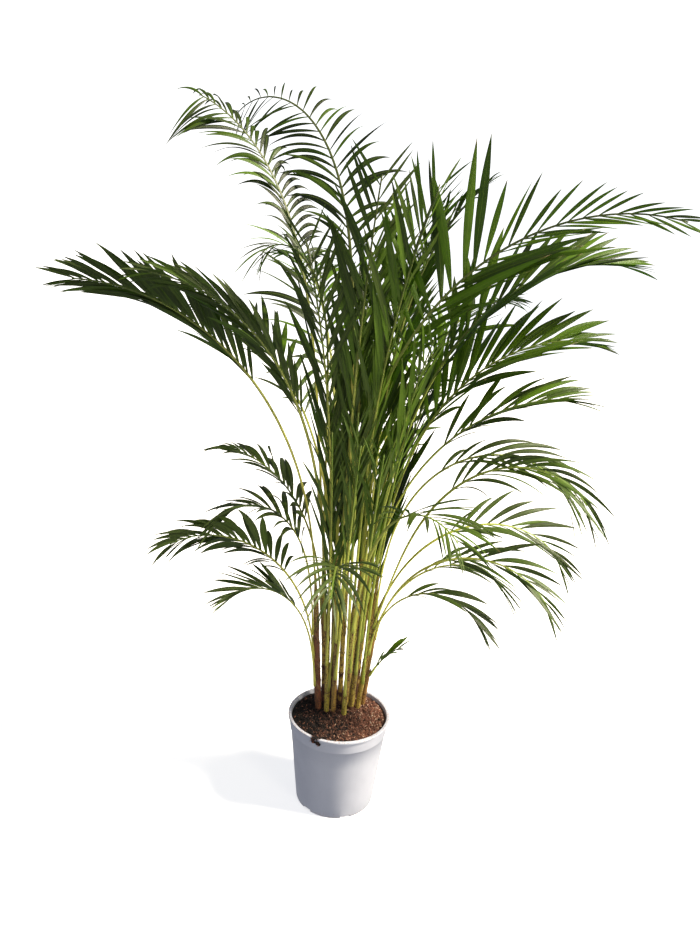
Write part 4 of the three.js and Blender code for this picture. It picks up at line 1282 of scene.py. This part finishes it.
def make_floor():
    """A flat floor, and round it a bowl that shuts off the view far away. Only the lens sees them: they
    throw no light on the palm, because their white would grey its deep shade."""
    floor = Skin()
    floor.face(floor.ring(circle(FLOOR_REACH, 0, FLOOR_SIDES)))
    backdrop = Skin()
    rises = [2 * math.pi * k / FLOOR_SIDES for k in range(FLOOR_SIDES // 4)]
    bowl = [circle(FLOOR_REACH * math.cos(t), FLOOR_REACH * math.sin(t), FLOOR_SIDES) for t in rises]
    rings = [backdrop.ring(level[::-1]) for level in bowl]
    for near, far in zip(rings, rings[1:]):
        backdrop.wall(near, far)
    for skin, name, glow in ((floor, "floor", FLOOR_GLOW), (backdrop, "backdrop", BACKDROP_GLOW)):
        piece = skin.piece(name, white_acrylic(f"lit_acrylic_{name}", glow))
        link(piece)
        for ray in ("visible_diffuse", "visible_glossy", "visible_shadow", "visible_transmission"):
            setattr(piece, ray, False)


def add_light(name, kind, place, target, colour, **settings):
    """A light at a place, in metres, that looks at a target."""
    light = bpy.data.lights.new(name, kind)
    light.color = paint(colour)[:3]
    for setting, value in settings.items():
        setattr(light, setting, value)
    lamp = bpy.data.objects.new(name, light)
    lamp.location = place
    lamp.rotation_euler = (Vector(target) - Vector(place)).to_track_quat("-Z", "Y").to_euler()
    link(lamp)


def light_studio():
    """A sun from the right and a little to the front, a weak wide light from the front, a narrow beam on
    the stems, and a dim sky."""
    add_light("key", "SUN", leaning(KEY_LEAN, KEY_TOWARD), (0, 0, 0), SUN_WARM, energy=KEY_POWER,
              angle=math.radians(KEY_WIDE))
    add_light("front", "AREA", FRONT_PLACE, FRONT_TARGET, FRONT_COOL, energy=FRONT_POWER,
              shape="DISK", size=FRONT_WIDE)
    add_light("stems", "SPOT", STEM_PLACE, STEM_TARGET, STEM_WARM, energy=STEM_POWER,
              spot_size=math.radians(STEM_CONE), spot_blend=1, shadow_soft_size=STEM_WIDE / 2)
    world = bpy.data.worlds.new("studio")
    world.use_nodes = True
    feed(world.node_tree, world.node_tree.nodes["Background"], {"Color": paint(SKY_COOL), "Strength": SKY})
    bpy.context.scene.world = world
    bpy.context.scene.view_settings.view_transform = "Standard"


def set_camera():
    down, left, roll = [math.radians(angle) for angle in (CAMERA_DOWN, CAMERA_LEFT, CAMERA_ROLL)]
    ahead = Vector((-math.sin(left) * math.cos(down), math.cos(left) * math.cos(down), -math.sin(down)))
    right = Vector((math.cos(left), math.sin(left), 0))
    upward = right.cross(ahead)
    across = right * math.cos(roll) + upward * math.sin(roll)
    above = upward * math.cos(roll) - right * math.sin(roll)
    camera = bpy.data.objects.new("camera", bpy.data.cameras.new("camera"))
    camera.data.sensor_width = SENSOR
    camera.data.lens = SENSOR * FOCAL_LENGTH / FRAME_HEIGHT
    turned = Matrix((across, above, -ahead)).transposed().to_4x4()
    camera.matrix_world = Matrix.Translation(Vector(CAMERA_PLACE) * MM) @ turned
    link(camera)
    bpy.context.scene.camera = camera


# Assembly


def prepare_fronds():
    """Works out each frond's name, foot and line, its tone and its age, and gives them all in turn."""
    chance = random.Random(FROND_SEED)
    fronds = []
    for number, cane in enumerate(CANES, start=1):
        for letter, frond in zip("abcde", cane["fronds"]):
            crown = frond["at"] == 1
            frond["foot_half"] = CROWN_FOOT * CANE_TOP * cane["thick"] / 2 if crown else SIDE_FOOT
            frond["name"] = f"frond_{number}{letter}"
            frond["spine"] = spine_of(cane, frond)
            frond["tone"] = frond.get("tone", chance.uniform(*PLAIN_TONES))
            tip = frond["spine"][-1].place.z / MM
            frond["age"] = frond.get("age", OLDEST * smooth((OLD_BELOW - tip) / OLD_OVER))
            fronds.append(frond)
    return fronds


def main():
    leaf = waxy_leaf()
    stalk = leaf_stalk()
    rind = ringed_cane()
    sheath = leaf_sheath()
    earth = potting_soil("crumbly_potting_soil", SOIL_DARK, SOIL_RED)
    coir = potting_soil("shredded_coir", SOIL_RED, COIR_PALE)

    show(make_pot(moulded_plastic()), "pot", "pot")
    show(make_soil(earth), "soil", "soil")
    scatter = scatter_tree()
    for name, shape, sizes, finish in (("soil_crumbs", crumb(), CRUMBS, earth),
                                       ("coir_fibres", fibre(), FIBRES, coir)):
        link(shape)
        piece = crumb_bed()
        grow(piece, scatter, Shape=shape, Seed=SCATTER_SEED, Finish=finish, **sizes)
        piece.name = name
        show(piece, "soil")
        bpy.data.objects.remove(shape)

    fronds = prepare_fronds()
    for number, cane in enumerate(CANES, start=1):
        show(make_cane(cane, number, rind, sheath), "cane", f"cane_{number}")
    tree = frond_tree()
    leaflet = flat_leaflet()
    for number, frond in enumerate(fronds):
        show(make_frond(frond, number, tree, leaflet, leaf, stalk), "frond", frond["name"])
    bpy.data.objects.remove(leaflet)

    make_floor()
    light_studio()
    set_camera()


main()
